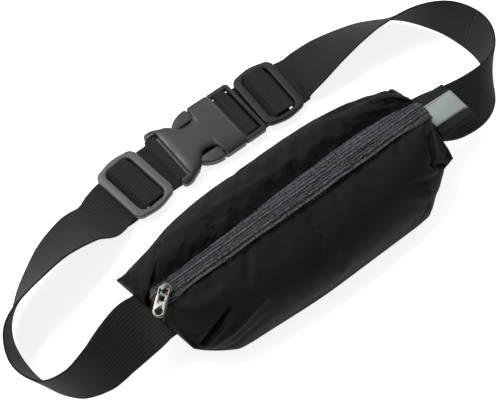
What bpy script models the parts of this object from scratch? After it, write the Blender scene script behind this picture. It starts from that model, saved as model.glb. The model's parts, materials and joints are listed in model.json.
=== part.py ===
"""Waist pack: a soft zipped pouch on a webbing belt with two adjusters and a side release buckle.

Units are metres. The pack lies on its back panel on z = 0, +X runs along the pouch towards the
end with the reflective tab, and -Y points to the front. The belt lies behind the pouch as a
closed ring, standing on its lower edge in both bends.
"""

import math

import bmesh
import bpy
from mathutils import Matrix, Vector

MM = 0.001

# Clearances
GAP = 0.3 * MM                 # between neighbouring pieces
SLOT_CLEARANCE = 1.2 * MM      # webbing edge to slot end
BAR_CLEARANCE = 0.85 * MM      # webbing's upper run to the buckle's bars

# Webbing
WEB_WIDTH = 38.0 * MM
WEB_THICK = 1.5 * MM
WEB_BEND = WEB_THICK / 2 + 0.35 * MM   # middle of the webbing round a bar
RUN_OUT = 0.16 * WEB_WIDTH      # flat webbing past an adjuster
WEB_CLIMB = 3.9 * MM           # length in which it climbs from under a rail to over the bar

# Pouch
POUCH_Y = -36.0 * MM           # middle of the pouch, under the zip
SEAM_X = 112.0 * MM            # half the length from end seam to end seam
SEAM_Z = 27.2 * MM             # underside of the end seams
SEAM_HALF = 33.0 * MM          # half the length of an end seam
POUCH_TOP = 50.0 * MM
POUCH_HALF_FRONT = 48.5 * MM   # zip middle to the front bottom edge
POUCH_HALF_BACK = 42.0 * MM    # zip middle to the rear bottom edge
STRAIGHT_X = 40.0 * MM         # half the length in which the pouch keeps its full width
BASE_FLAT_X = SEAM_X - 44.0 * MM       # half the length of the base that lies flat
RISE_POWER = 1.7               # how sharply the base lifts to an end seam
END_DROP = 10.0 * MM           # how much sooner the lower fabric falls to the end seam than the zip
END_SLOPE = 34.0 * MM          # the same for the shoulders
FABRIC = 1.2 * MM
BINDING_WIDTH = 4.0 * MM
BINDING_THICK = 1.5 * MM
BINDING_IN = 10.0 * MM         # end seam to the middle of its binding
BINDING_SHORT = 8.0 * MM       # how much shorter it is than the seam at each end

# Zip
TAPE_HALF = 9.0 * MM           # zip middle to the sewn edge of a tape
TAPE_THICK = 0.8 * MM
TAPE_BEND_X = SEAM_X - 4.0 * MM        # where the tapes turn down to the end seams
TAPE_BEND_R = 3.0 * MM
COIL_GAP = 1.4 * MM            # free width between the two coils
COIL_WIDTH = 2.0 * MM
COIL_HEIGHT = 1.4 * MM
SLIDER_X = 9.5 * MM - SEAM_X
SLIDER_LENGTH = 9.0 * MM
SLIDER_WIDTH = 8.6 * MM
SLIDER_PLATE = 1.6 * MM
SLIDER_POST = COIL_GAP - 2 * GAP
SLIDER_NOSE = 1.6 * MM         # slider's end to its post
CROWN_LENGTH = 5.2 * MM
CROWN_WIDTH = 1.6 * MM
CROWN_HEIGHT = 3.0 * MM
CROWN_WALL = 0.9 * MM
EYE_LIFT = 0.4 * MM            # top wing to the underside of the crown's eye
STOP_LENGTH = 1.4 * MM
STOP_X = SEAM_X - 3.2 * MM     # outer end of each stop
PULL_LENGTH = 19.0 * MM        # pivot to tip
PULL_WIDTH = 8.0 * MM
PULL_NECK = 3.7 * MM           # half the width at the eye
PULL_THICK = 1.0 * MM
PULL_BAR = 1.0 * MM            # width of the bar that runs in the crown
PULL_EYE = 3.4 * MM            # length of the opening in front of the bar
PULL_WINDOW = 3.0 * MM
PULL_HOLE = 2.3 * MM
PULL_TURN = math.radians(40.0)     # swung towards the front
PULL_DROOP = math.radians(4.0)

# Belt hardware
BUCKLE_Y = 59.5 * MM
LOWER_RUN_Z = WEB_THICK / 2 + 0.85 * MM    # middle of the webbing's lower run
UPPER_RUN_Z = LOWER_RUN_Z + WEB_THICK + GAP
BAR_LOW = UPPER_RUN_Z + WEB_THICK / 2 + BAR_CLEARANCE
BAR_THICK = 3.2 * MM
BAR_HIGH = BAR_LOW + BAR_THICK
BUCKLE_Z = BAR_LOW + 1.8 * MM

ADJUSTER_LENGTH = 34.0 * MM
ADJUSTER_WIDTH = WEB_WIDTH + 9.0 * MM      # across the flat of the short sides
ADJUSTER_BULGE = 1.6 * MM      # how far each short side swells
ADJUSTER_RAIL = 6.2 * MM
ADJUSTER_LOW = UPPER_RUN_Z + WEB_THICK / 2 + GAP
ADJUSTER_HIGH = ADJUSTER_LOW + 4.2 * MM
ADJUSTER_BAR = 5.0 * MM
ADJUSTER_BAR_LOW = ADJUSTER_LOW + 0.4 * MM
ADJUSTER_BAR_HIGH = ADJUSTER_BAR_LOW + 2.4 * MM
LEFT_ADJUSTER_X = -61.0 * MM
LEFT_YAW = math.radians(6.5)
RIGHT_ADJUSTER_X = 56.0 * MM
RIGHT_YAW = math.radians(-3.0)
YAW_LENGTH = 12.0 * MM         # length in which the webbing turns from the buckle to an adjuster
PIVOT_LEFT = 8.0 * MM          # socket's end to the point about which that turn is taken
PIVOT_RIGHT = 3.0 * MM         # plug's end to the same point on its side

FEMALE_LEFT = -35.5 * MM
FEMALE_MOUTH = 19.0 * MM
FEMALE_HALF = WEB_WIDTH / 2 + 5.0 * MM
FEMALE_ARM_HALF = FEMALE_HALF + 1.0 * MM
FEMALE_NECK = FEMALE_HALF - 2.6 * MM       # half the width where the waist begins
FEMALE_THICK = 11.0 * MM
FEMALE_BAR = 4.5 * MM
FEMALE_SLOT = 3.5 * MM
CAVITY_LEFT = -20.0 * MM
CAVITY_HALF = FEMALE_HALF - 3.0 * MM
CAVITY_HALF_Z = 3.6 * MM
WINDOW_LEFT = -21.5 * MM
WINDOW_RIGHT = 1.5 * MM
WAIST_HALF = CAVITY_HALF - 9.0 * MM        # half the width that is left between the windows

MALE_HALF = FEMALE_HALF - 0.2 * MM
MALE_BODY = 1.4 * MM           # solid behind the mouth before the first slot
MALE_SLOT = 3.4 * MM
MALE_BAR = 6.0 * MM
MALE_OUTER_SLOT = 4.0 * MM
MALE_RIM = 3.0 * MM
MALE_LOW = UPPER_RUN_Z + WEB_THICK / 2 + GAP
MALE_HIGH = BUCKLE_Z + 2.4 * MM
PLUG_CLEARANCE = 0.6 * MM
GUIDE_HALF = 3.5 * MM
GUIDE_HALF_Z = 2.0 * MM
GUIDE_LEFT = -15.0 * MM
PRONG_TIP = -19.0 * MM
PRONG_ARM_OUT = CAVITY_HALF - 1.5 * MM
PRONG_ARM_IN = PRONG_ARM_OUT - 5.0 * MM
PRONG_EAR_OUT = FEMALE_HALF - 0.4 * MM

# Reflective tab
TAB_WIDTH = 32.0 * MM
TAB_LENGTH = 33.0 * MM
TAB_THICK = 0.9 * MM
TAB_LOOP = 3.0 * MM            # height of the folded ribbon, middle to middle
TAB_Z = 34.0 * MM
TAB_Y = POUCH_Y - 3.0 * MM
STRIPE_WIDTH = 17.5 * MM
STRIPE_THICK = 0.5 * MM
STRIPE_UNDER = 26.0 * MM       # seam to the stripe's end on the underside

# The free part of each strap, from its adjuster to the end seam: how far its middle lies past the
# end seam, its y and z in mm, and how far the width has leaned over from lying flat, in degrees.
RIGHT_ROUTE = (
    (-24, 56.5, 10, 10), (-5, 57, 14, 22), (14, 56.5, 15.5, 34), (34, 53.5, 17, 46),
    (56.5, 44.5, 18.5, 63), (75, 27, 20.5, 86), (83.5, 9, 21.5, 98), (84.5, -9, 21.5, 98),
    (76, -27, 21, 85), (61.5, -37.5, 20.5, 62), (45, -41, 20, 42), (28, -39.5, 20.5, 27),
    (13, -37, 24.5, 12),
)
LEFT_ROUTE = (
    (-15, 49, 8.5, 7), (3, 46, 20, 22), (27, 40.5, 25.5, 40), (51, 32, 23.5, 58),
    (70, 20.5, 21.5, 78), (80, 6, 20.5, 96), (83, -13, 19.5, 107), (77, -31.5, 20.5, 102),
    (64.5, -41.5, 23.5, 81), (48, -43.5, 26.5, 58), (31, -40, 27.5, 42), (16, -37, 27.5, 24),
)


# ---------------------------------------------------------------- helpers

def clear_scene():
    for old in list(bpy.data.objects):
        bpy.data.objects.remove(old, do_unlink=True)


def collection(name):
    made = bpy.data.collections.new(name)
    bpy.context.scene.collection.children.link(made)
    return made


def material(name, colour, roughness, metallic=0.0):
    made = bpy.data.materials.new(name)
    made.use_nodes = True
    shader = made.node_tree.nodes["Principled BSDF"]
    shader.inputs["Base Color"].default_value = (*colour, 1.0)
    shader.inputs["Roughness"].default_value = roughness
    shader.inputs["Metallic"].default_value = metallic
    return made


def add_object(name, mesh, group, look=None):
    made = bpy.data.objects.new(name, mesh)
    group.objects.link(made)
    if look is not None:
        made.data.materials.append(look)
    return made


def mesh_from(name, points, faces):
    mesh = bpy.data.meshes.new(name)
    mesh.from_pydata([tuple(p) for p in points], [], faces)
    build = bmesh.new()
    build.from_mesh(mesh)
    bmesh.ops.recalc_face_normals(build, faces=build.faces)
    build.to_mesh(mesh)
    build.free()
    return mesh


def box_mesh(name, low, high):
    """A box between two corners."""
    build = bmesh.new()
    bmesh.ops.create_cube(build, size=1.0)
    low, high = Vector(low), Vector(high)
    size = high - low
    bmesh.ops.scale(build, vec=size, verts=build.verts)
    bmesh.ops.translate(build, vec=(low + high) / 2, verts=build.verts)
    mesh = bpy.data.meshes.new(name)
    build.to_mesh(mesh)
    build.free()
    return mesh


def plate(name, outlines, low, high, group, look=None):
    """A flat plate between two heights, from closed outlines; the first is the outside."""
    curve = bpy.data.curves.new(name, "CURVE")
    curve.dimensions = "2D"
    curve.fill_mode = "BOTH"
    curve.extrude = (high - low) / 2
    for outline in outlines:
        spline = curve.splines.new("POLY")
        spline.points.add(len(outline) - 1)
        spline.use_cyclic_u = True
        for point, (x, y) in zip(spline.points, outline):
            point.co = (x, y, 0.0, 1.0)
    drawn = bpy.data.objects.new(name + "_outline", curve)
    group.objects.link(drawn)
    drawn.location.z = (low + high) / 2
    bpy.context.view_layer.update()
    shaped = drawn.evaluated_get(bpy.context.evaluated_depsgraph_get())
    mesh = bpy.data.meshes.new_from_object(shaped)
    mesh.transform(drawn.matrix_world)
    build = bmesh.new()
    build.from_mesh(mesh)
    bmesh.ops.remove_doubles(build, verts=build.verts, dist=0.00001)
    bmesh.ops.recalc_face_normals(build, faces=build.faces)
    build.to_mesh(mesh)
    build.free()
    bpy.data.objects.remove(drawn, do_unlink=True)
    return add_object(name, mesh, group, look)


def cut(target, cutter, operation="DIFFERENCE"):
    """Cut the target with the cutter, or join it on with UNION; the cutter stays as a guide."""
    cutter.hide_render = True
    cutter.display_type = "WIRE"
    change = target.modifiers.new(cutter.name, "BOOLEAN")
    change.operation = operation
    change.solver = "EXACT"
    change.object = cutter


def cut_box(target, name, low, high, cutters, operation="DIFFERENCE"):
    cut(target, add_object(name, box_mesh(name, low, high), cutters), operation)


def arc(centre, radius, start, end, steps):
    """Points on an arc, angles in degrees."""
    points = []
    for i in range(steps + 1):
        angle = math.radians(start + (end - start) * i / steps)
        points.append((centre[0] + radius * math.cos(angle), centre[1] + radius * math.sin(angle)))
    return points


def rounded_rectangle(half_x, half_y, radius, bulge=0.0, steps=4):
    """A rectangle about the origin whose ends along Y may swell outwards by the bulge."""
    points = []
    for sx, sy, start in ((1, 1, 0), (-1, 1, 90), (-1, -1, 180), (1, -1, 270)):
        corner = (sx * (half_x - radius), sy * (half_y - radius))
        points.extend(arc(corner, radius, start, start + 90, steps))
        if bulge > 0.0 and start in (0, 180):
            for i in range(1, 6):
                t = i / 6
                x = sx * (half_x - radius) * (1 - 2 * t)
                points.append((x, sy * (half_y + bulge * math.sin(math.pi * t))))
    return points


def smooth_step(t):
    t = min(max(t, 0.0), 1.0)
    return t * t * (3 - 2 * t)


def catmull(points, per_span):
    """Points on a Catmull-Rom curve through the given vectors, ends included."""
    out = []
    for i in range(len(points) - 1):
        before = points[max(i - 1, 0)]
        start, end = points[i], points[i + 1]
        after = points[min(i + 2, len(points) - 1)]
        for step in range(per_span):
            t = step / per_span
            out.append(0.5 * (2 * start + (end - before) * t
                              + (2 * before - 5 * start + 4 * end - after) * t * t
                              + (3 * start - before - 3 * end + after) * t * t * t))
    out.append(points[-1].copy())
    return out


def round_corners(points, radius, steps):
    """A polyline in the XZ plane with each inner corner replaced by an arc."""
    out = [points[0]]
    for before, corner, after in zip(points, points[1:], points[2:]):
        first = (before - corner).normalized()
        second = (after - corner).normalized()
        turn = math.pi - first.angle(second)
        reach = radius * math.tan(turn / 2)
        reach = min(reach, (before - corner).length * 0.499, (after - corner).length * 0.499)
        start, end = corner + first * reach, corner + second * reach
        for i in range(steps + 1):
            t = i / steps
            out.append(start * (1 - t) ** 2 + corner * 2 * t * (1 - t) + end * t * t)
    out.append(points[-1])
    return out


# ---------------------------------------------------------------- pouch

def falling(x, start, end):
    """1 up to start, then a rounded fall to 0 at end."""
    x = abs(x)
    if x <= start:
        return 1.0
    t = min((x - start) / (end - start), 1.0)
    return (1.0 - t ** 2.2) ** (1 / 2.2)


def pouch_bottom(x):
    """Height of the base's underside, which is flat in the middle and lifts to the end seams."""
    return SEAM_Z * base_lift(x) ** RISE_POWER


def base_lift(x):
    return max(abs(x) - BASE_FLAT_X, 0.0) / (SEAM_X - BASE_FLAT_X)


def base_top(x):
    """Height of the base's inner face, measured straight up through the sloping fabric."""
    slope = SEAM_Z * RISE_POWER * base_lift(x) ** (RISE_POWER - 1.0) / (SEAM_X - BASE_FLAT_X)
    return pouch_bottom(x) + FABRIC * math.sqrt(1.0 + slope * slope)


def pouch_half(x, half):
    """Half the width of the pouch at x, for a side whose full half is given."""
    t = smooth_step((abs(x) - STRAIGHT_X) / (SEAM_X - STRAIGHT_X))
    return half + (SEAM_HALF - half) * t


SIDE_SHAPE = ((0.0, 1.0), (0.30, 0.97), (0.58, 0.84), (0.80, 0.62), (0.94, 0.36), (1.0, 0.13),
              (0.99, 0.0))
BACK_SHAPE = ((0.0, 1.0), (0.38, 0.98), (0.74, 0.93), (0.93, 0.78), (1.0, 0.52), (1.0, 0.22),
              (0.97, 0.0))


def panel_stations():
    """Positions along X, closer together at the ends."""
    near_end = [SEAM_X - d * MM for d in (0, 0.25, 1, 2.2, 4, 7, 11, 16, 22, 30, 42, 58, 80)]
    return [-x for x in near_end] + [0.0] + near_end[::-1]


def side_panel(name, sign, half, shape, group, look):
    """The fabric from a zip tape down to the base, on the side of the given sign."""
    rows = []
    inner = TAPE_HALF + 3 * GAP
    for x in panel_stations():
        low = base_top(x) + GAP
        lowest_top = base_top(SEAM_X) + FABRIC + GAP
        outer = pouch_half(x, half)
        row = []
        for out, up in shape:
            fall_from = TAPE_BEND_X - (1.0 - up) * END_DROP - out * END_SLOPE
            top = lowest_top + (POUCH_TOP - lowest_top) * falling(x, fall_from, SEAM_X)
            y = POUCH_Y + sign * (inner + (outer - inner) * out)
            row.append(Vector((x, y, low + (top - low) * up)))
        rows.append(row)
    points = [p for row in rows for p in row]
    width = len(shape)
    faces = []
    for i in range(len(rows) - 1):
        for j in range(width - 1):
            a = i * width + j
            face = (a, a + 1, a + width + 1, a + width)
            faces.append(face if sign < 0 else face[::-1])
    mesh = bpy.data.meshes.new(name)
    mesh.from_pydata([tuple(p) for p in points], [], faces)
    panel = add_object(name, mesh, group, look)
    wall = panel.modifiers.new("fabric", "SOLIDIFY")
    wall.thickness = FABRIC
    wall.offset = -1.0
    return panel


def back_panel(group, look):
    rows = []
    for x in panel_stations():
        low = pouch_bottom(x)
        row = []
        for share in (-1.0, -0.6, 0.0, 0.6, 1.0):
            half = POUCH_HALF_FRONT if share < 0 else POUCH_HALF_BACK
            row.append(Vector((x, POUCH_Y + share * (pouch_half(x, half) - 1.5 * FABRIC), low)))
        rows.append(row)
    points = [p for row in rows for p in row]
    width = len(rows[0])
    faces = []
    for i in range(len(rows) - 1):
        for j in range(width - 1):
            a = i * width + j
            faces.append((a, a + 1, a + width + 1, a + width))
    mesh = bpy.data.meshes.new("back_panel")
    mesh.from_pydata([tuple(p) for p in points], [], faces)
    panel = add_object("back_panel", mesh, group, look)
    wall = panel.modifiers.new("fabric", "SOLIDIFY")
    wall.thickness = FABRIC
    wall.offset = -1.0
    return panel


def build_pouch(group, looks):
    side_panel("lower_panel", -1, POUCH_HALF_FRONT, SIDE_SHAPE, group, looks["fabric"])
    side_panel("upper_panel", 1, POUCH_HALF_BACK, BACK_SHAPE, group, looks["fabric"])
    back_panel(group, looks["fabric"])
    for side, name in ((-1, "left_end_binding"), (1, "right_end_binding")):
        middle = side * (SEAM_X - BINDING_IN)
        low = base_top(middle + side * BINDING_WIDTH / 2) + GAP
        half = SEAM_HALF - BINDING_SHORT
        mesh = box_mesh(name, (middle - BINDING_WIDTH / 2, POUCH_Y - half, low),
                        (middle + BINDING_WIDTH / 2, POUCH_Y + half, low + BINDING_THICK))
        add_object(name, mesh, group, looks["binding"])


# ---------------------------------------------------------------- zip

def build_zip(group, cutters, looks):
    tape_z = POUCH_TOP - TAPE_THICK / 2
    end_x = SEAM_X - TAPE_THICK / 2
    end_z = base_top(SEAM_X) + GAP
    path = [Vector((-end_x, 0, end_z)), Vector((-end_x, 0, tape_z)), Vector((end_x, 0, tape_z)),
            Vector((end_x, 0, end_z))]
    line = round_corners(path, TAPE_BEND_R, 5)
    for sign, side in ((-1, "lower"), (1, "upper")):
        inner = POUCH_Y + sign * COIL_GAP / 2
        outer = POUCH_Y + sign * TAPE_HALF
        points = []
        for p in line:
            points.append((p.x, inner, p.z))
            points.append((p.x, outer, p.z))
        faces = [(2 * i, 2 * i + 1, 2 * i + 3, 2 * i + 2) for i in range(len(line) - 1)]
        tape = add_object("zip_tape_" + side, mesh_from("zip_tape_" + side, points, faces), group,
                          looks["film"])
        wall = tape.modifiers.new("tape", "SOLIDIFY")
        wall.thickness = TAPE_THICK
        wall.offset = 0.0
        coil_top = POUCH_TOP - TAPE_THICK - GAP
        low_y, high_y = sorted((inner, inner + sign * COIL_WIDTH))
        coil_end = STOP_X - STOP_LENGTH - GAP
        mesh = box_mesh("zip_coil_" + side, (-coil_end, low_y, coil_top - COIL_HEIGHT),
                        (coil_end, high_y, coil_top))
        add_object("zip_coil_" + side, mesh, group, looks["coil"])
    coil_top = POUCH_TOP - TAPE_THICK - GAP
    for sign, name in ((-1, "zip_closed_end_stop"), (1, "zip_open_end_stop")):
        middle = sign * (STOP_X - STOP_LENGTH / 2)
        half = COIL_GAP / 2 + COIL_WIDTH
        mesh = box_mesh(name, (middle - STOP_LENGTH / 2, POUCH_Y - half, coil_top - COIL_HEIGHT),
                        (middle + STOP_LENGTH / 2, POUCH_Y + half, coil_top))
        add_object(name, mesh, group, looks["metal"])
    build_slider(group, cutters, looks)


def build_slider(group, cutters, looks):
    """Top and bottom wings on a post that runs between the coils, with a crown for the pull."""
    half_l, half_w = SLIDER_LENGTH / 2, SLIDER_WIDTH / 2
    top_low = POUCH_TOP + GAP
    bottom_high = POUCH_TOP - TAPE_THICK - COIL_HEIGHT - 2 * GAP
    outline = rounded_rectangle(half_l, half_w, 2.6 * MM)
    slider = plate("zip_slider", [outline], top_low, top_low + SLIDER_PLATE, group, looks["metal"])
    lower = plate("slider_lower_wing", [outline], bottom_high - SLIDER_PLATE, bottom_high, cutters)
    cut(slider, lower, "UNION")
    cut_box(slider, "slider_post", (-half_l + SLIDER_NOSE, -SLIDER_POST / 2, bottom_high - SLIDER_PLATE / 2),
            (half_l / 3, SLIDER_POST / 2, top_low + SLIDER_PLATE / 2), cutters, "UNION")
    wing_top = top_low + SLIDER_PLATE
    crown_half, crown_top = CROWN_LENGTH / 2, wing_top + CROWN_HEIGHT
    cut_box(slider, "slider_crown", (-crown_half, -CROWN_WIDTH / 2, wing_top - SLIDER_PLATE / 4),
            (crown_half, CROWN_WIDTH / 2, crown_top), cutters, "UNION")
    eye_low, eye_high = wing_top + EYE_LIFT, crown_top - CROWN_WALL
    cut_box(slider, "slider_crown_eye", (-crown_half + CROWN_WALL, -CROWN_WIDTH, eye_low),
            (crown_half - CROWN_WALL, CROWN_WIDTH, eye_high), cutters)
    for piece in (slider, *[c for c in cutters.objects if c.name.startswith("slider_")]):
        piece.location += Vector((SLIDER_X, POUCH_Y, 0.0))
    build_pull(Vector((SLIDER_X, POUCH_Y, (eye_low + eye_high) / 2)), group, looks)


def build_pull(pivot, group, looks):
    """A flat tab with a window near its eye and a round hole at its tip; its eye's bar is on the pivot."""
    half, bar = PULL_WIDTH / 2, PULL_BAR / 2
    side = PULL_NECK - PULL_BAR
    eye_end = bar + PULL_EYE
    outside = [(-bar, -PULL_NECK), (eye_end, -PULL_NECK), (eye_end + 2 * MM, -half)]
    outside += arc((PULL_LENGTH - half, 0), half, -90, 90, 10)
    outside += [(eye_end + 2 * MM, half), (eye_end, PULL_NECK), (-bar, PULL_NECK)]
    eye = [(bar, -side), (eye_end, -side), (eye_end, side), (bar, side)]
    window_start, window_half = eye_end + 1.4 * MM, PULL_WINDOW / 2
    window_end = window_start + PULL_WINDOW
    window = [(window_start, -window_half), (window_end, -window_half), (window_end, window_half),
              (window_start, window_half)]
    hole = arc((PULL_LENGTH - half, 0), PULL_HOLE, 0, 330, 11)
    pull = plate("zip_pull", [outside, eye, window, hole], -PULL_THICK / 2, PULL_THICK / 2, group,
                 looks["metal"])
    heading = Matrix.Rotation(math.pi + PULL_TURN, 4, "Z")
    droop = Matrix.Rotation(PULL_DROOP, 4, "Y")
    pull.matrix_world = Matrix.Translation(pivot) @ heading @ droop


# ---------------------------------------------------------------- belt hardware

def adjuster(name, x, yaw, group, cutters, looks):
    half_l, half_w = ADJUSTER_LENGTH / 2, ADJUSTER_WIDTH / 2
    window_w = WEB_WIDTH / 2 + SLOT_CLEARANCE
    outline = rounded_rectangle(half_l, half_w, 5.0 * MM, ADJUSTER_BULGE)
    window = rounded_rectangle(half_l - ADJUSTER_RAIL, window_w, 1.5 * MM)
    frame = plate(name, [outline, window], ADJUSTER_LOW, ADJUSTER_HIGH, group, looks["plastic"])
    cut_box(frame, name + "_centre_bar", (-ADJUSTER_BAR / 2, -window_w - 1 * MM, ADJUSTER_BAR_LOW),
            (ADJUSTER_BAR / 2, window_w + 1 * MM, ADJUSTER_BAR_HIGH), cutters, "UNION")
    for piece in (frame, cutters.objects[name + "_centre_bar"]):
        piece.location = (x, run_y(x), 0.0)
        piece.rotation_euler.z = yaw


def female_outline():
    """The rear half from the arm end to the mouth, then its mirror image back again."""
    half = [
        (FEMALE_LEFT, FEMALE_ARM_HALF - 2 * MM), (FEMALE_LEFT + 2 * MM, FEMALE_ARM_HALF),
        (FEMALE_LEFT + 5 * MM, FEMALE_ARM_HALF), (FEMALE_LEFT + 10 * MM, FEMALE_HALF - 0.6 * MM),
        (WINDOW_LEFT, FEMALE_NECK),
    ]
    reach = WINDOW_RIGHT - WINDOW_LEFT
    for share, inwards in ((0.14, 0.40), (0.32, 0.78), (0.54, 0.97), (0.76, 1.0), (0.90, 0.92), (0.98, 0.66)):
        half.append((WINDOW_LEFT + share * reach, FEMALE_NECK + (WAIST_HALF - FEMALE_NECK) * inwards))
    half += [(WINDOW_RIGHT, FEMALE_HALF - 1 * MM), (WINDOW_RIGHT + 1.5 * MM, FEMALE_HALF),
             (FEMALE_MOUTH - 1 * MM, FEMALE_HALF), (FEMALE_MOUTH, FEMALE_HALF - 1 * MM)]
    return half + [(x, -y) for x, y in reversed(half)]


def build_female(group, cutters, looks):
    low, high = BUCKLE_Z - FEMALE_THICK / 2, BUCKLE_Z + FEMALE_THICK / 2
    body = plate("buckle_female", [female_outline()], low, high, group, looks["plastic"])
    slot_half = WEB_WIDTH / 2 + SLOT_CLEARANCE
    slot_start = FEMALE_LEFT + FEMALE_BAR
    cut_box(body, "female_cavity", (CAVITY_LEFT, -CAVITY_HALF, BUCKLE_Z - CAVITY_HALF_Z),
            (FEMALE_MOUTH + 5 * MM, CAVITY_HALF, BUCKLE_Z + CAVITY_HALF_Z), cutters)
    cut_box(body, "female_slot", (slot_start, -slot_half, low - 1 * MM),
            (slot_start + FEMALE_SLOT, slot_half, high + 1 * MM), cutters)
    cut_box(body, "female_bar_top", (FEMALE_LEFT - 1 * MM, -slot_half, BAR_HIGH),
            (slot_start + 0.5 * MM, slot_half, high + 1 * MM), cutters)
    cut_box(body, "female_bar_under", (FEMALE_LEFT - 1 * MM, -slot_half, low - 1 * MM),
            (slot_start + 0.5 * MM, slot_half, BAR_LOW), cutters)
    for piece in (body, *[c for c in cutters.objects if c.name.startswith("female_")]):
        piece.location.y += BUCKLE_Y


def prong_outline():
    """An arm from its root at the mouth to a round ear whose shoulder bears on the mouth band."""
    shoulder = WINDOW_RIGHT - 2 * GAP
    root = FEMALE_MOUTH - GAP
    reach = shoulder - PRONG_TIP
    outline = [(root, PRONG_ARM_IN), (root, PRONG_ARM_OUT), (shoulder, PRONG_ARM_OUT), (shoulder, PRONG_EAR_OUT)]
    for share, y in ((0.22, PRONG_EAR_OUT + 0.2 * MM), (0.45, PRONG_EAR_OUT - 0.8 * MM),
                     (0.68, PRONG_EAR_OUT - 3.2 * MM), (0.86, PRONG_EAR_OUT - 6.6 * MM)):
        outline.append((shoulder - share * reach, y))
    outline += [(PRONG_TIP, PRONG_ARM_IN - 1 * MM), (PRONG_TIP + 1.5 * MM, PRONG_ARM_IN - 3 * MM),
                (PRONG_TIP + 5 * MM, PRONG_ARM_IN - 3.4 * MM), (shoulder, PRONG_ARM_IN - 1 * MM)]
    return outline


def build_male(group, cutters, looks):
    start, end = FEMALE_MOUTH + GAP, male_end()
    slot_half = WEB_WIDTH / 2 + SLOT_CLEARANCE
    slot_x = start + MALE_BODY
    bar_x = slot_x + MALE_SLOT
    outer_x = bar_x + MALE_BAR
    rim_x = outer_x + MALE_OUTER_SLOT
    outline = [(start, MALE_HALF - 1 * MM), (start, -MALE_HALF + 1 * MM), (start + 1 * MM, -MALE_HALF)]
    outline += arc((end - 2 * MM, -MALE_HALF + 2 * MM), 2 * MM, -90, 0, 3)
    outline += arc((end - 2 * MM, MALE_HALF - 2 * MM), 2 * MM, 0, 90, 3)
    outline += [(start + 1 * MM, MALE_HALF)]
    body = plate("buckle_male", [outline], MALE_LOW, MALE_HIGH, group, looks["plastic"])
    cut_box(body, "male_slots", (slot_x, -slot_half, 0.0), (rim_x, slot_half, 2 * MALE_HIGH), cutters)
    cut_box(body, "male_bar", (bar_x, -slot_half - 1 * MM, BAR_LOW),
            (outer_x, slot_half + 1 * MM, BAR_HIGH), cutters, "UNION")
    cut_box(body, "male_guide", (GUIDE_LEFT, -GUIDE_HALF, BUCKLE_Z - GUIDE_HALF_Z),
            (slot_x - GAP, GUIDE_HALF, BUCKLE_Z + GUIDE_HALF_Z), cutters, "UNION")
    for piece in (body, *[c for c in cutters.objects if c.name.startswith("male_")]):
        piece.location.y += BUCKLE_Y
    half_z = CAVITY_HALF_Z - PLUG_CLEARANCE
    for sign, name in ((-1, "buckle_prong_front"), (1, "buckle_prong_back")):
        root = (FEMALE_MOUTH - GAP, sign * (PRONG_ARM_IN + PRONG_ARM_OUT) / 2)
        outline = [(x - root[0], sign * y - root[1]) for x, y in prong_outline()]
        prong = plate(name, [outline], BUCKLE_Z - half_z, BUCKLE_Z + half_z, group, looks["plastic"])
        prong.location = (root[0], BUCKLE_Y + root[1], 0.0)


# ---------------------------------------------------------------- belt

def run_yaw(x):
    """How far the webbing has turned in plan where it runs through the hardware at x."""
    if x < 0:
        return LEFT_YAW * smooth_step((FEMALE_LEFT - x) / YAW_LENGTH)
    return RIGHT_YAW * smooth_step((x - male_end()) / YAW_LENGTH)


def run_y(x):
    pivot = FEMALE_LEFT - PIVOT_LEFT if x < 0 else male_end() + PIVOT_RIGHT
    return BUCKLE_Y + math.tan(run_yaw(x)) * (x - pivot)


def male_end():
    return FEMALE_MOUTH + GAP + MALE_BODY + MALE_SLOT + MALE_BAR + MALE_OUTER_SLOT + MALE_RIM


def threading(bar_low_x, bar_high_x, adjuster_x, away):
    """The webbing's path through its adjuster and round its buckle bar, as XZ points.

    It starts at the end sewn round the adjuster's centre bar and stops past the outer rail.
    away is +1 where the strap leaves the buckle towards +X.
    """
    half = WEB_THICK / 2
    near, far = (bar_high_x, bar_low_x) if away > 0 else (bar_low_x, bar_high_x)
    inner_side = far - away * (GAP + half)
    outer_side = near + away * (GAP + half)
    over_bar = BAR_HIGH + GAP + half
    centre_out = adjuster_x + away * (ADJUSTER_BAR / 2 + GAP + half)
    wrap_top = ADJUSTER_BAR_HIGH + GAP + half
    crown = wrap_top + WEB_THICK + GAP
    foot = ADJUSTER_LENGTH / 2 - ADJUSTER_RAIL - 3 * GAP
    rail_in, rail_out = adjuster_x - away * foot, adjuster_x + away * foot
    climb = away * WEB_CLIMB
    exit_x = adjuster_x + away * (ADJUSTER_LENGTH / 2 + RUN_OUT)
    corners = [
        (adjuster_x - away * 1.5 * MM, wrap_top), (centre_out, wrap_top), (centre_out, LOWER_RUN_Z),
        (inner_side, LOWER_RUN_Z), (inner_side, over_bar), (outer_side, over_bar),
        (outer_side + away * GAP, UPPER_RUN_Z), (rail_in, UPPER_RUN_Z), (rail_in + climb, crown),
        (rail_out - climb, crown), (rail_out, UPPER_RUN_Z), (exit_x, UPPER_RUN_Z),
    ]
    return [Vector((x, 0.0, z)) for x, z in corners]


def ribbon(name, frames, width, thickness, group, look):
    """A strip through (middle, width direction) frames, given its thickness by Solidify."""
    points = []
    for middle, across in frames:
        points.append(middle + across * (width / 2))
        points.append(middle - across * (width / 2))
    faces = [(2 * i, 2 * i + 1, 2 * i + 3, 2 * i + 2) for i in range(len(frames) - 1)]
    mesh = bpy.data.meshes.new(name)
    mesh.from_pydata([tuple(p) for p in points], [], faces)
    strip = add_object(name, mesh, group, look)
    wall = strip.modifiers.new("webbing", "SOLIDIFY")
    wall.thickness = thickness
    wall.offset = 0.0
    return strip


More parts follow.
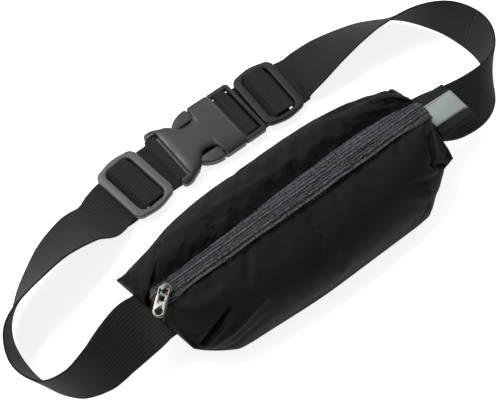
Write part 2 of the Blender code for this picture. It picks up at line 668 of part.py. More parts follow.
def strap(name, bar_low_x, bar_high_x, adjuster_x, away, route, group, look):
    """One strap: its hardware end, its free part and its end at the pouch's seam."""
    frames = []
    for p in round_corners(threading(bar_low_x, bar_high_x, adjuster_x, away), WEB_BEND, 3):
        yaw = run_yaw(p.x)
        across = Vector((math.sin(yaw), -math.cos(yaw), 0.0))
        frames.append((Vector((p.x, run_y(p.x), p.z)), across))
    exit_point = frames[-1][0]
    seam_x = away * (SEAM_X + GAP)
    stations = [(*exit_point, 0.0)]
    stations += [(away * (SEAM_X + past * MM), y * MM, z * MM, math.radians(lean))
                 for past, y, z, lean in route]
    stations += [(seam_x + away * 4 * MM, POUCH_Y, SEAM_Z + FABRIC, math.radians(3.0)),
                 (seam_x, POUCH_Y, SEAM_Z + FABRIC, 0.0)]
    line = catmull([Vector(s) for s in stations], 5)
    for i in range(1, len(line)):
        here = line[i].to_3d()
        step = (line[min(i + 1, len(line) - 1)] - line[i - 1]).to_3d()
        along = step.normalized()
        side = Vector((-along.y, along.x, 0.0)).normalized() * -away
        raised = (along.cross(side) * -away).normalized()
        lean = line[i].w
        frames.append((here, side * math.cos(lean) + raised * math.sin(lean)))
    frames[-1] = (frames[-1][0], Vector((0.0, 1.0, 0.0)))
    ribbon(name, frames, WEB_WIDTH, WEB_THICK, group, look)


def build_belt(group, cutters, looks):
    adjuster("left_adjuster", LEFT_ADJUSTER_X, LEFT_YAW, group, cutters, looks)
    adjuster("right_adjuster", RIGHT_ADJUSTER_X, RIGHT_YAW, group, cutters, looks)
    build_female(group, cutters, looks)
    build_male(group, cutters, looks)
    strap("left_strap", FEMALE_LEFT, FEMALE_LEFT + FEMALE_BAR, LEFT_ADJUSTER_X, -1, LEFT_ROUTE, group,
          looks["webbing"])
    bar_x = FEMALE_MOUTH + GAP + MALE_BODY + MALE_SLOT
    strap("right_strap", bar_x, bar_x + MALE_BAR, RIGHT_ADJUSTER_X, 1, RIGHT_ROUTE, group, looks["webbing"])


# ---------------------------------------------------------------- reflective tab

def tab_path(offset, start_low, start_high):
    """The folded ribbon's side view, moved outwards by the offset."""
    fold = SEAM_X + GAP + TAB_LENGTH - TAB_LOOP / 2
    low, high = TAB_Z - TAB_LOOP / 2 - offset, TAB_Z + TAB_LOOP / 2 + offset
    points = [(SEAM_X + GAP + start_low, low)]
    points += arc((fold, TAB_Z), TAB_LOOP / 2 + offset, -90, 90, 8)
    points.append((SEAM_X + GAP + start_high, high))
    return points


def build_tab(group, looks):
    for name, offset, width, thick, look, starts in (
        ("reflective_tab", 0.0, TAB_WIDTH, TAB_THICK, "webbing", (0.0, 0.0)),
        ("reflective_stripe", (TAB_THICK + STRIPE_THICK) / 2 + GAP / 2, STRIPE_WIDTH, STRIPE_THICK,
         "reflective", (STRIPE_UNDER, 1 * MM)),
    ):
        frames = [(Vector((x, TAB_Y, z)), Vector((0.0, 1.0, 0.0))) for x, z in tab_path(offset, *starts)]
        ribbon(name, frames, width, thick, group, looks[look])


def main():
    clear_scene()
    parts = collection("waist_pack")
    cutters = collection("waist_pack_cutters")
    looks = {
        "fabric": material("pouch_fabric", (0.012, 0.011, 0.012), 0.8),
        "binding": material("binding_tape", (0.02, 0.02, 0.02), 0.85),
        "film": material("zip_film", (0.06, 0.065, 0.07), 0.3),
        "coil": material("zip_coil", (0.02, 0.02, 0.02), 0.4),
        "metal": material("slider_metal", (0.55, 0.52, 0.48), 0.3, 1.0),
        "webbing": material("webbing", (0.02, 0.02, 0.018), 0.8),
        "plastic": material("buckle_plastic", (0.07, 0.075, 0.075), 0.45),
        "reflective": material("reflective_film", (0.35, 0.37, 0.36), 0.35, 0.3),
    }
    build_pouch(parts, looks)
    build_zip(parts, cutters, looks)
    build_belt(parts, cutters, looks)
    build_tab(parts, looks)
    cutters.hide_render = True


if __name__ == "__main__":
    main()
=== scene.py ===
"""Waist pack: the looks of its pouch, zip, belt, buckle and trim, built round the fixed CAD frame."""

from __future__ import annotations

import json
import logging
import math
from dataclasses import dataclass, field
from enum import Enum
from typing import Callable, Sequence

import bmesh
import bpy
import numpy as np
from mathutils import Matrix, Vector, noise

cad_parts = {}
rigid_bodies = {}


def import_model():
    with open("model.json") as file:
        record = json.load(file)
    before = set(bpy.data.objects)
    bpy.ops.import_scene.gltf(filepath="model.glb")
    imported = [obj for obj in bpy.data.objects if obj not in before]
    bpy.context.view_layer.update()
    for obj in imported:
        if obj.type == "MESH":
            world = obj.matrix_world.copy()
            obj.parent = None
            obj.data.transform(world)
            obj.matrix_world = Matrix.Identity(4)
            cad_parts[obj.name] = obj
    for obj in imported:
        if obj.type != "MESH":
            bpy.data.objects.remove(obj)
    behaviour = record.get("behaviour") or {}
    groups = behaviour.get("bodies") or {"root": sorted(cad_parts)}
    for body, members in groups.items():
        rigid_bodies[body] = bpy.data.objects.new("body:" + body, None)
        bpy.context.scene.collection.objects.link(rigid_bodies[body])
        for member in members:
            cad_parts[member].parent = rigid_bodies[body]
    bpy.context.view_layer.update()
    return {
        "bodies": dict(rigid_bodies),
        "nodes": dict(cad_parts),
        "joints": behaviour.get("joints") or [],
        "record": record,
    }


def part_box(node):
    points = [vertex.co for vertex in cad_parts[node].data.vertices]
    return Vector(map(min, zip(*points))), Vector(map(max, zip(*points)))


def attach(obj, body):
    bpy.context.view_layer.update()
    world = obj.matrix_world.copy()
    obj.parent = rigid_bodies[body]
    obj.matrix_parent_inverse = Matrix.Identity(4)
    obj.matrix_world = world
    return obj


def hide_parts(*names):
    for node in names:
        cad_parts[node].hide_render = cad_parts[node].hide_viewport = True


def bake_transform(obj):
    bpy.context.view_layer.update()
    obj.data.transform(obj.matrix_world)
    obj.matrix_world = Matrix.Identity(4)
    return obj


MM = 0.001
LOG = logging.getLogger("waist_pack")

Colour = tuple[float, float, float]
Place = tuple[float, float, float]


class Body(Enum):
    """The bodies that pieces ride on."""

    POUCH = "pouch"
    SLIDER = "slider"
    PULL = "pull"
    MALE = "male"
    PRONG_FRONT = "prong_front"
    PRONG_BACK = "prong_back"
    LEFT_ADJUSTER = "left_adjuster"
    RIGHT_ADJUSTER = "right_adjuster"


class Side(Enum):
    """The two ends of the belt, by the direction in which a strap leaves the buckle."""

    LEFT = -1
    RIGHT = 1


# ------ shader maths


@dataclass(frozen=True)
class Wire:
    """A number that changes over a surface, with the usual arithmetic."""

    board: "Board"
    socket: bpy.types.NodeSocket

    def __add__(self, other: Wire | float) -> Wire:
        """Add a number."""
        return self.board.maths("ADD", self, other)

    def __radd__(self, other: float) -> Wire:
        """Be added to a number."""
        return self.board.maths("ADD", other, self)

    def __sub__(self, other: Wire | float) -> Wire:
        """Take a number away."""
        return self.board.maths("SUBTRACT", self, other)

    def __rsub__(self, other: float) -> Wire:
        """Be taken away from a number."""
        return self.board.maths("SUBTRACT", other, self)

    def __mul__(self, other: Wire | float) -> Wire:
        """Multiply by a number."""
        return self.board.maths("MULTIPLY", self, other)

    def __rmul__(self, other: float) -> Wire:
        """Multiply a number."""
        return self.board.maths("MULTIPLY", other, self)

    def sine(self) -> Wire:
        """The sine of this number."""
        return self.board.maths("SINE", self)


class Board:
    """The node tree of one finish, with its Principled shader."""

    def __init__(self, name: str) -> None:
        """Start a material.

        Args:
            name: The finish's name.
        """
        self.material = bpy.data.materials.new(name)
        self.material.use_nodes = True
        self.tree = self.material.node_tree
        self.shader = self.tree.nodes["Principled BSDF"]

    def node(
        self,
        kind: str,
        settings: dict[str, object] | None = None,
        sockets: dict[str | int, object] | None = None,
    ) -> bpy.types.Node:
        """Add a node, set its settings, then fill its sockets.

        Args:
            kind: The node's type without its ShaderNode prefix.
            settings: Attributes; "stops" fills a colour ramp with (place, grey) pairs.
            sockets: A value, a Wire or a node socket for each input.

        Returns:
            The new node.
        """
        made = self.tree.nodes.new("ShaderNode" + kind)
        for key, value in (settings or {}).items():
            if key == "stops":
                self._fill_ramp(made.color_ramp, value)
            else:
                setattr(made, key, value)
        for key, value in (sockets or {}).items():
            self.plug(made.inputs[key], value)
        return made

    @staticmethod
    def _fill_ramp(ramp: bpy.types.ColorRamp, stops: Sequence[tuple[float, float]]) -> None:
        """Set a grey ramp's stops, given as (place, grey).

        Args:
            ramp: The ramp to fill.
            stops: Places and greys.
        """
        while len(ramp.elements) < len(stops):
            ramp.elements.new(0.5)
        for element, (place, grey) in zip(ramp.elements, stops):
            element.position = place
            element.color = (grey, grey, grey, 1.0)

    def plug(self, socket: bpy.types.NodeSocket, value: object) -> None:
        """Give an input a value, or link it.

        Args:
            socket: The input.
            value: A number, a colour, a Wire or an output.
        """
        if isinstance(value, Wire):
            self.tree.links.new(value.socket, socket)
        elif isinstance(value, bpy.types.NodeSocket):
            self.tree.links.new(value, socket)
        elif isinstance(value, tuple) and len(value) == 3 and socket.type == "RGBA":
            socket.default_value = (*value, 1.0)
        else:
            socket.default_value = value

    def maths(self, operation: str, *values: Wire | float) -> Wire:
        """A Math node's result."""
        made = self.node("Math", {"operation": operation}, dict(enumerate(values)))
        return Wire(self, made.outputs[0])

    def place(self) -> bpy.types.NodeSocket:
        """The piece's own coordinates, in metres."""
        return self.node("TexCoord").outputs["Object"]

    def stretched(
        self, place: bpy.types.NodeSocket, scale: Place, turn: float = 0.0
    ) -> bpy.types.NodeSocket:
        """Coordinates multiplied along each axis, after a turn about Z in radians.

        Args:
            place: Coordinates.
            scale: A factor for each axis.
            turn: Radians about Z.

        Returns:
            The new coordinates.
        """
        sockets = {"Vector": place, "Scale": scale, "Rotation": (0.0, 0.0, turn)}
        return self.node("Mapping", {"vector_type": "POINT"}, sockets).outputs[0]

    def cloth_axes(self, uv_map: str = "cloth") -> tuple[Wire, Wire]:
        """Distances along and across a strip, in metres, from its UV map.

        Args:
            uv_map: The map's name.

        Returns:
            The two distances.
        """
        uv = self.node("UVMap", {"uv_map": uv_map})
        split = self.node("SeparateXYZ", sockets={0: uv.outputs[0]})
        return Wire(self, split.outputs[0]), Wire(self, split.outputs[1])

    def grain(
        self, place: bpy.types.NodeSocket, scale: float, detail: float = 2.0, rough: float = 0.5
    ) -> Wire:
        """Noise between 0 and 1.

        Args:
            place: Coordinates that the noise reads.
            scale: Spots in a metre.
            detail: Octaves.
            rough: Weight of the finer octaves.

        Returns:
            The noise.
        """
        sockets = {"Vector": place, "Scale": scale, "Detail": detail, "Roughness": rough}
        return Wire(self, self.node("TexNoise", None, sockets).outputs[0])

    def cells(self, place: bpy.types.NodeSocket, scale: float) -> Wire:
        """Distance to the nearest of many scattered points."""
        made = self.node("TexVoronoi", None, {"Vector": place, "Scale": scale})
        return Wire(self, made.outputs["Distance"])

    def ramp(self, value: Wire, stops: Sequence[tuple[float, float]]) -> Wire:
        """A value passed through grey stops."""
        made = self.node("ValToRGB", {"stops": stops}, {0: value})
        return Wire(self, made.outputs[0])

    def between(self, mask: Wire, first: object, second: object) -> bpy.types.NodeSocket:
        """A colour that goes from the first to the second as the mask goes from 0 to 1.

        Args:
            mask: The mix.
            first: Where the mask is 0.
            second: Where the mask is 1.

        Returns:
            The mixed colour.
        """
        made = self.node("Mix", {"data_type": "RGBA"}, {0: mask, 6: first, 7: second})
        return made.outputs[2]

    def bump(
        self, height: Wire, distance: float, strength: float, under: bpy.types.NodeSocket | None = None
    ) -> bpy.types.NodeSocket:
        """A normal from a height, over another normal if one is given.

        Args:
            height: The height, 0 to 1.
            distance: Metres for a height of 1.
            strength: Share of the effect.
            under: A normal to start from.

        Returns:
            The new normal.
        """
        sockets = {"Height": height, "Distance": distance, "Strength": strength}
        if under is not None:
            sockets["Normal"] = under
        return self.node("Bump", None, sockets).outputs[0]

    def edges(self) -> Wire:
        """1 on sharp outer edges and 0 elsewhere."""
        point = Wire(self, self.node("NewGeometry").outputs["Pointiness"])
        return self.ramp(point, ((0.52, 0.0), (0.62, 1.0)))

    def dress(self, sockets: dict[str, object]) -> bpy.types.Material:
        """Fill the shader's sockets and hand the material over.

        Args:
            sockets: A value for each named input.

        Returns:
            The finished material.
        """
        for key, value in sockets.items():
            self.plug(self.shader.inputs[key], value)
        return self.material


# ------ finishes


@dataclass(frozen=True)
class MouldedPlastic:
    """Satin injection-moulded acetal with a fine spark-eroded grain and rubbed edges."""

    name: str
    colour: Colour
    rubbed: Colour
    roughness: float = 0.42

    def make(self) -> bpy.types.Material:
        """Build the material.

        Returns:
            The finished material.
        """
        b = Board(self.name)
        place = b.place()
        cloud = b.grain(place, 55.0, 3.0)
        fine = b.grain(place, 2600.0, 2.0)
        streaks = b.grain(b.stretched(place, (1.0, 3.0, 1.0)), 420.0, 5.0)
        scuffs = b.ramp(streaks, ((0.56, 0.0), (0.72, 1.0)))
        tint = b.between(cloud, self.colour, tuple(c * 1.15 for c in self.colour))
        worn = b.between(b.edges() * 0.55 + scuffs * 0.12, tint, self.rubbed)
        rough = self.roughness + cloud * 0.10 + scuffs * 0.08 - 0.05
        normal = b.bump(fine, 0.00005, 0.55)
        normal = b.bump(cloud, 0.0004, 0.25, normal)
        return b.dress({"Base Color": worn, "Roughness": rough, "Specular IOR Level": 0.45, "Normal": normal})


@dataclass(frozen=True)
class Webbing:
    """Ribbed webbing: raised ribs along the strap, and picks that cross them, with painted shade darkening
    the valleys between them.
    """

    name: str
    colour: Colour
    # valley: the painted shade colour of the grooves between ribs and picks
    valley: Colour
    rib: float = 2.2 * MM
    pick: float = 1.15 * MM

    def make(self) -> bpy.types.Material:
        """Build the material.

        Returns:
            The finished material.
        """
        b = Board(self.name)
        along, across = b.cloth_axes()
        place = b.place()
        turn = 2.0 * math.pi
        lean = (across * (turn / self.rib)).sine()
        picks = (along * (turn / self.pick) + lean * 1.3).sine() * 0.5 + 0.5
        ends = (across * (turn / (self.rib / 4))).sine() * 0.5 + 0.5
        fuzz = b.grain(place, 3800.0, 3.0)
        wear = b.grain(place, 38.0, 4.0)
        ribs = (across * (turn / self.rib) + math.pi / 2).sine() * 0.5 + 0.5
        # Painted shade: ribs and picks pull the colour towards the valley colour in the grooves between them;
        # the wear and fuzz noise is the webbing's own uneven tone.
        shade = ribs * 0.42 + picks * 0.28 + wear * 0.35 + fuzz * 0.25 - 0.2
        colour = b.between(b.ramp(shade, ((0.1, 0.0), (0.9, 1.0))), self.valley, self.colour)
        height = picks * 0.6 + ends * 0.25 + fuzz * 0.35
        normal = b.bump(height, 0.00022, 0.8)
        return b.dress({
            "Base Color": colour, "Roughness": 0.72 + wear * 0.16, "Sheen Weight": 0.05,
            "Sheen Roughness": 0.45, "Specular IOR Level": 0.22, "Normal": normal,
        })


@dataclass(frozen=True)
class StretchCloth:
    """The pouch's fine matt stretch cloth, with a faint cool bloom and lint."""

    name: str
    colour: Colour
    bloom: Colour
    thread: float = 0.42 * MM

    def make(self) -> bpy.types.Material:
        """Build the material.

        Returns:
            The finished material.
        """
        b = Board(self.name)
        place = b.place()
        along, across = b.cloth_axes()
        turn = 2.0 * math.pi / self.thread
        twill = ((along + across * 0.6) * turn).sine() * 0.5 + 0.5
        cross = (across * turn).sine() * 0.5 + 0.5
        fine = b.grain(place, 4200.0, 3.0)
        soft = b.grain(place, 26.0, 4.0, 0.6)
        rubbed = b.grain(place, 160.0, 5.0, 0.65)
        tint = b.between(soft * 0.7 + fine * 0.3, self.colour, self.bloom)
        lint = b.ramp(b.grain(place, 1900.0, 1.0), ((0.74, 0.0), (0.82, 1.0)))
        colour = b.between(lint * 0.25, tint, (0.06, 0.06, 0.065))
        height = twill * 0.5 + cross * 0.3 + fine * 0.5
        normal = b.bump(height, 0.00010, 0.6)
        normal = b.bump(rubbed, 0.0011, 0.35, normal)
        return b.dress({
            "Base Color": colour, "Roughness": 0.66 + rubbed * 0.18, "Sheen Weight": 0.03,
            "Sheen Roughness": 0.35, "Sheen Tint": (0.75, 0.76, 0.9, 1.0), "Specular IOR Level": 0.15,
            "Normal": normal,
        })


@dataclass(frozen=True)
class GlossFilm:
    """Zip tape laminated with a glossy film: crinkled, with the knit showing through; its colour holds
    painted glints of the crinkled gloss and painted shade in the grooves between the wales.
    """

    name: str
    colour: Colour
    # the pale colour of the painted glints on the crinkled gloss
    painted_glint: Colour
    wale: float = 2.7 * MM

    def make(self) -> bpy.types.Material:
        """Build the material.

        Returns:
            The finished material.
        """
        b = Board(self.name)
        place = b.place()
        along, across = b.cloth_axes()
        turn = 2.0 * math.pi
        wander = b.grain(b.stretched(place, (0.3, 1.0, 1.0)), 300.0, 2.0)
        wales = (across * (turn / self.wale) + wander * 2.2).sine() * 0.5 + 0.5
        lines = b.ramp(wales, ((0.0, 1.0), (0.34, 0.0)))
        knit = b.ramp(across * (1.0 / (20.0 * MM)), ((0.30, 1.0), (0.38, 0.0)))
        courses = (along * (turn / (self.wale * 0.8))).sine() * 0.5 + 0.5
        crinkle = b.grain(b.stretched(place, (1.0, 2.0, 1.0)), 260.0, 5.0, 0.62)
        mesh = b.cells(b.stretched(place, (1.0, 1.5, 1.0)), 520.0)
        broad = b.grain(b.stretched(place, (0.35, 1.0, 1.0)), 95.0, 3.0)
        rubbed = b.ramp(b.grain(place, 700.0, 4.0), ((0.50, 0.0), (0.70, 1.0)))
        specks = b.ramp(mesh, ((0.22, 0.0), (0.60, 1.0)))
        # Painted light: pale patches and specks from the broad, mesh and rubbed noise are painted glints of
        # the crinkled gloss, with some uneven film tone and wear; the dark lines along the wales are painted
        # shade in their grooves.
        shade = broad * 0.5 + specks * 0.45 + rubbed * 0.15 - lines * (knit * 0.5 + 0.45)
        colour = b.between(b.ramp(shade, ((0.26, 0.0), (0.70, 1.0))), self.colour, self.painted_glint)
        rough = 0.26 + crinkle * 0.16 + rubbed * 0.10
        normal = b.bump(courses * 0.3 - lines * knit + mesh * 0.9, 0.0004, 0.9)
        normal = b.bump(crinkle, 0.0026, 0.75, normal)
        normal = b.bump(broad, 0.004, 0.5, normal)
        return b.dress({
            "Base Color": colour, "Roughness": rough, "Specular IOR Level": 0.45,
            "Coat Weight": lines * -0.1 + 0.12, "Coat Roughness": 0.25, "Normal": normal,
        })


@dataclass(frozen=True)
class PlatedMetal:
    """Nickel plate over die-cast zinc, tumbled and lightly scratched."""

    name: str
    colour: Colour
    stain: Colour
    roughness: float = 0.24

    def make(self) -> bpy.types.Material:
        """Build the material.

        Returns:
            The finished material.
        """
        b = Board(self.name)
        place = b.place()
        cloud = b.grain(place, 260.0, 4.0)
        scratches = b.grain(b.stretched(place, (1.0, 9.0, 1.0), 0.5), 900.0, 6.0, 0.7)
        colour = b.between(cloud, self.colour, self.stain)
        rough = self.roughness + cloud * 0.10 + scratches * 0.10 - 0.06
        normal = b.bump(scratches, 0.00006, 0.5)
        normal = b.bump(cloud, 0.0003, 0.3, normal)
        return b.dress({"Base Color": colour, "Metallic": 1.0, "Roughness": rough, "Normal": normal})


@dataclass(frozen=True)
class BeadFilm:
    """Silver reflective film: glass beads on a grey ground, a little creased, with painted shade darkening
    the colour along the creases.
    """

    name: str
    colour: Colour
    ground: Colour

    def make(self) -> bpy.types.Material:
        """Build the material.

        Returns:
            The finished material.
        """
        b = Board(self.name)
        place = b.place()
        beads = b.cells(place, 5200.0)
        soft = b.grain(place, 120.0, 4.0)
        drawn = b.grain(b.stretched(place, (2.0, 0.6, 1.0)), 260.0, 4.0)
        creases = b.ramp(drawn, ((0.60, 0.0), (0.72, 1.0)))
        # Painted shade: the crease mask darkens the colour towards the grey ground along the creases; the
        # soft and bead noise is the film's own uneven tone.
        colour = b.between(soft * 0.45 + creases * 0.3 + beads * 0.2, self.colour, self.ground)
        normal = b.bump(beads, 0.00004, 0.6)
        normal = b.bump(creases, 0.0004, 0.4, normal)
        return b.dress({
            "Base Color": colour, "Metallic": 0.25, "Roughness": 0.42 + soft * 0.14,
            "Specular IOR Level": 0.5, "Normal": normal,
        })


@dataclass(frozen=True)
class Thread:
    """Twisted polyester sewing thread."""

    name: str
    colour: Colour

    def make(self) -> bpy.types.Material:
        """Build the material.

        Returns:
            The finished material.
        """
        b = Board(self.name)
        place = b.place()
        twist = b.grain(b.stretched(place, (1.0, 4.0, 4.0), 0.7), 1900.0, 2.0)
        colour = b.between(twist, self.colour, tuple(c * 2.2 for c in self.colour))
        return b.dress({
            "Base Color": colour, "Roughness": 0.45 + twist * 0.2, "Specular IOR Level": 0.5,
            "Normal": b.bump(twist, 0.0001, 0.6),
        })


@dataclass(frozen=True)
class PaleFloor:
    """A plain pale studio floor with a trace of paper tooth."""

    name: str
    colour: Colour

    def make(self) -> bpy.types.Material:
        """Build the material.

        Returns:
            The finished material.
        """
        b = Board(self.name)
        tooth = b.grain(b.place(), 300.0, 2.0)
        colour = b.between(tooth * 0.1, self.colour, tuple(c * 0.96 for c in self.colour))
        return b.dress({
            "Base Color": colour, "Roughness": 0.9, "Specular IOR Level": 0.1,
            "Emission Color": (1.0, 1.0, 1.0, 1.0), "Emission Strength": 0.82,
        })


# ------ curves and lofts


def smooth_step(t: float) -> float:
    """An even rise from 0 at 0 to 1 at 1.

    Args:
        t: A value.

    Returns:
        A value between 0 and 1.
    """
    t = min(max(t, 0.0), 1.0)
    return t * t * (3.0 - 2.0 * t)


def catmull(points: Sequence[Vector], per_span: int) -> list[Vector]:
    """Points on a Catmull-Rom curve through the given vectors, ends included.

    Args:
        points: Vectors of any one length.
        per_span: Steps between neighbouring vectors.

    Returns:
        The curve's points.
    """
    out = []
    for i in range(len(points) - 1):
        before, start = points[max(i - 1, 0)], points[i]
        end, after = points[i + 1], points[min(i + 2, len(points) - 1)]
        for step in range(per_span):
            t = step / per_span
            out.append(0.5 * (2 * start + (end - before) * t
                              + (2 * before - 5 * start + 4 * end - after) * t * t
                              + (3 * start - before - 3 * end + after) * t * t * t))
    out.append(points[-1].copy())
    return out


def round_corners(points: Sequence[Vector], radius: float, steps: int) -> list[Vector]:
    """A polyline with each inner corner replaced by a curve of about the given radius.

    Args:
        points: The polyline.
        radius: The bend's radius.
        steps: Pieces in each bend.

    Returns:
        The new polyline.
    """
    out = [points[0]]
    for before, corner, after in zip(points, points[1:], points[2:]):
        first, second = (before - corner).normalized(), (after - corner).normalized()
        reach = radius * math.tan((math.pi - first.angle(second)) / 2)
        reach = min(reach, (before - corner).length * 0.499, (after - corner).length * 0.499)
        start, end = corner + first * reach, corner + second * reach
        for i in range(steps + 1):
            t = i / steps
            out.append(start * (1 - t) ** 2 + corner * 2 * t * (1 - t) + end * t * t)
    out.append(points[-1])
    return out


def arc(centre: tuple[float, float], radius: float, start: float, end: float, steps: int) -> list[Vector]:
    """Flat points on an arc, angles in degrees.

    Args:
        centre: The arc's middle.
        radius: Its radius.
        start: First angle.
        end: Last angle.
        steps: Pieces.

    Returns:
        Points with Z at 0.
    """
    points = []
    for i in range(steps + 1):
        angle = math.radians(start + (end - start) * i / steps)
        x, y = centre[0] + radius * math.cos(angle), centre[1] + radius * math.sin(angle)
        points.append(Vector((x, y, 0.0)))
    return points


def link(mesh: bpy.types.Mesh, name: str) -> bpy.types.Object:
    """Put a mesh into the scene as an object.

    Args:
        mesh: The mesh.
        name: The object's name.

    Returns:
        The object.
    """
    made = bpy.data.objects.new(name, mesh)
    bpy.context.scene.collection.objects.link(made)
    return made


def skin_of(build: bmesh.types.BMesh, name: str) -> bpy.types.Object:
    """Turn a mesh in the making into a smooth-shaded object whose faces point outwards.

    Args:
        build: The mesh in the making, which is then freed.
        name: The object's name.

    Returns:
        The object.
    """
    bmesh.ops.recalc_face_normals(build, faces=build.faces)
    mesh = bpy.data.meshes.new(name)
    build.to_mesh(mesh)
    build.free()
    mesh.shade_smooth()
    return link(mesh, name)


def loft(
    name: str,
    rings: Sequence[Sequence[Vector]],
    cloth: Sequence[Sequence[tuple[float, float]]] | None = None,
    closed: bool = True,
    caps: bool = True,
) -> bpy.types.Object:
    """A skin over rings of equal length, with an optional cloth UV map in metres.

    Args:
        name: The piece's name.
        rings: Rows of points.
        cloth: For each point, its distance along and across the cloth.
        closed: Whether each ring joins its own start.
        caps: Whether the first and last rings are filled.

    Returns:
        The new object, smooth shaded.
    """
    size = len(rings[0])
    build = bmesh.new()
    rows = [[build.verts.new(p) for p in ring] for ring in rings]
    layer = build.loops.layers.uv.new("cloth") if cloth else None
    for i in range(len(rings) - 1):
        for j in range(size if closed else size - 1):
            k = (j + 1) % size
            face = build.faces.new((rows[i][j], rows[i][k], rows[i + 1][k], rows[i + 1][j]))
            if layer:
                for corner, (a, c) in zip(face.loops, ((i, j), (i, k), (i + 1, k), (i + 1, j))):
                    corner[layer].uv = cloth[a][c]
    if closed and caps:
        for row, ends in ((rows[0], 0), (rows[-1], len(rings) - 1)):
            face = build.faces.new(row)
            if layer:
                for corner, c in zip(face.loops, range(size)):
                    corner[layer].uv = cloth[ends][c]
    return skin_of(build, name)


# ------ the bench


class Bench:
    """Hand modelling with Blender's own operators."""

    @staticmethod
    def only(piece: bpy.types.Object) -> bpy.types.Object:
        """Select one object and make it active.

        Args:
            piece: The object.

        Returns:
            The same object.
        """
        bpy.ops.object.select_all(action="DESELECT")
        piece.select_set(True)
        bpy.context.view_layer.objects.active = piece
        return piece

    @staticmethod
    def apply_all(piece: bpy.types.Object) -> None:
        """Apply every modifier of a piece.

        Args:
            piece: The object.
        """
        Bench.only(piece)
        for change in list(piece.modifiers):
            bpy.ops.object.modifier_apply(modifier=change.name)

    @staticmethod
    def block(name: str, low: Sequence[float], high: Sequence[float]) -> bpy.types.Object:
        """A cube primitive stretched between two corners.

        Args:
            name: The block's name.
            low: Lowest corner.
            high: Highest corner.

        Returns:
            The block.
        """
        low, high = Vector(low), Vector(high)
        bpy.ops.object.select_all(action="DESELECT")
        bpy.ops.mesh.primitive_cube_add(size=1.0)
        piece = bpy.context.active_object
        piece.name = name
        piece.data.transform(Matrix.Translation((low + high) / 2) @ Matrix.Diagonal((*(high - low), 1.0)))
        return piece

    @staticmethod
    def plate(name: str, outline: Sequence[Vector], low: float, high: float) -> bpy.types.Object:
        """A filled circle primitive laid on an outline, then extruded up.

        Args:
            name: The plate's name.
            outline: Its outline.
            low: Underside's height.
            high: Top's height.

        Returns:
            The closed plate.
        """
        bpy.ops.object.select_all(action="DESELECT")
        bpy.ops.mesh.primitive_circle_add(vertices=len(outline), radius=0.01, fill_type="NGON")
        piece = bpy.context.active_object
        piece.name = name
        for vertex, point in zip(piece.data.vertices, outline):
            vertex.co = (point.x, point.y, low)
        bpy.ops.object.mode_set(mode="EDIT")
        bpy.ops.mesh.select_all(action="SELECT")
        bpy.ops.mesh.extrude_region_move(TRANSFORM_OT_translate={"value": (0.0, 0.0, high - low)})
        bpy.ops.mesh.select_all(action="SELECT")
        bpy.ops.mesh.normals_make_consistent(inside=False)
        bpy.ops.object.mode_set(mode="OBJECT")
        return piece

    @staticmethod
    def body(
        name: str, sections: int, around: int, shape: Callable[[int, float], Vector]
    ) -> bpy.types.Object:
        """A cylinder primitive cut into sections along its length, each point moved to its place.

        Args:
            name: The piece's name.
            sections: How many rings there are.
            around: Points in a ring.
            shape: Gives a point for a ring's number and an angle.

        Returns:
            The closed body.
        """
        bpy.ops.object.select_all(action="DESELECT")
        bpy.ops.mesh.primitive_cylinder_add(vertices=around, radius=1.0, depth=2.0)
        piece = bpy.context.active_object
        piece.name = name
        bpy.ops.object.mode_set(mode="EDIT")
        build = bmesh.from_edit_mesh(piece.data)
        for face in build.faces:
            face.select = False
        for edge in build.edges:
            edge.select = abs(edge.verts[0].co.z - edge.verts[1].co.z) > 1.0
        bmesh.update_edit_mesh(piece.data)
        bpy.ops.mesh.subdivide(number_cuts=sections - 2)
        bpy.ops.object.mode_set(mode="OBJECT")
        for vertex in piece.data.vertices:
            number = round((vertex.co.z + 1.0) / 2.0 * (sections - 1))
            vertex.co = shape(number, math.atan2(vertex.co.y, vertex.co.x))
        bpy.ops.object.mode_set(mode="EDIT")
        bpy.ops.mesh.select_all(action="SELECT")
        bpy.ops.mesh.normals_make_consistent(inside=False)
        bpy.ops.object.mode_set(mode="OBJECT")
        return piece

    @staticmethod
    def carve(piece: bpy.types.Object, tool: bpy.types.Object) -> None:
        """Cut a piece with a tool object, which is then thrown away.

        Args:
            piece: What is cut.
            tool: What cuts it.
        """
        change = piece.modifiers.new("carve", "BOOLEAN")
        change.operation = "DIFFERENCE"
        change.solver = "EXACT"
        change.object = tool
        Bench.only(piece)
        bpy.ops.object.modifier_apply(modifier=change.name)
        bpy.data.objects.remove(tool, do_unlink=True)

    @staticmethod
    def soften(piece: bpy.types.Object, width: float, segments: int = 3, angle: float = 35.0) -> None:
        """Round the sharp edges of a piece and shade it smooth.

        Args:
            piece: The piece.
            width: The bevel's width.
            segments: Pieces across it.
            angle: Edges sharper than this are rounded, in degrees.
        """
        change = piece.modifiers.new("soften", "BEVEL")
        change.width = width
        change.segments = segments
        change.limit_method = "ANGLE"
        change.angle_limit = math.radians(angle)
        change.use_clamp_overlap = True
        Bench.only(piece)
        bpy.ops.object.modifier_apply(modifier=change.name)
        bpy.ops.object.shade_smooth_by_angle(angle=math.radians(40.0))

    @staticmethod
    def merge(name: str, pieces: Sequence[bpy.types.Object]) -> bpy.types.Object:
        """Join pieces of one finish into one object.

        Args:
            name: The new object's name.
            pieces: What is joined.

        Returns:
            One object.
        """
        bpy.ops.object.select_all(action="DESELECT")
        for piece in pieces:
            piece.select_set(True)
        bpy.context.view_layer.objects.active = pieces[0]
        if len(pieces) > 1:
            bpy.ops.object.join()
        pieces[0].name = name
        return pieces[0]


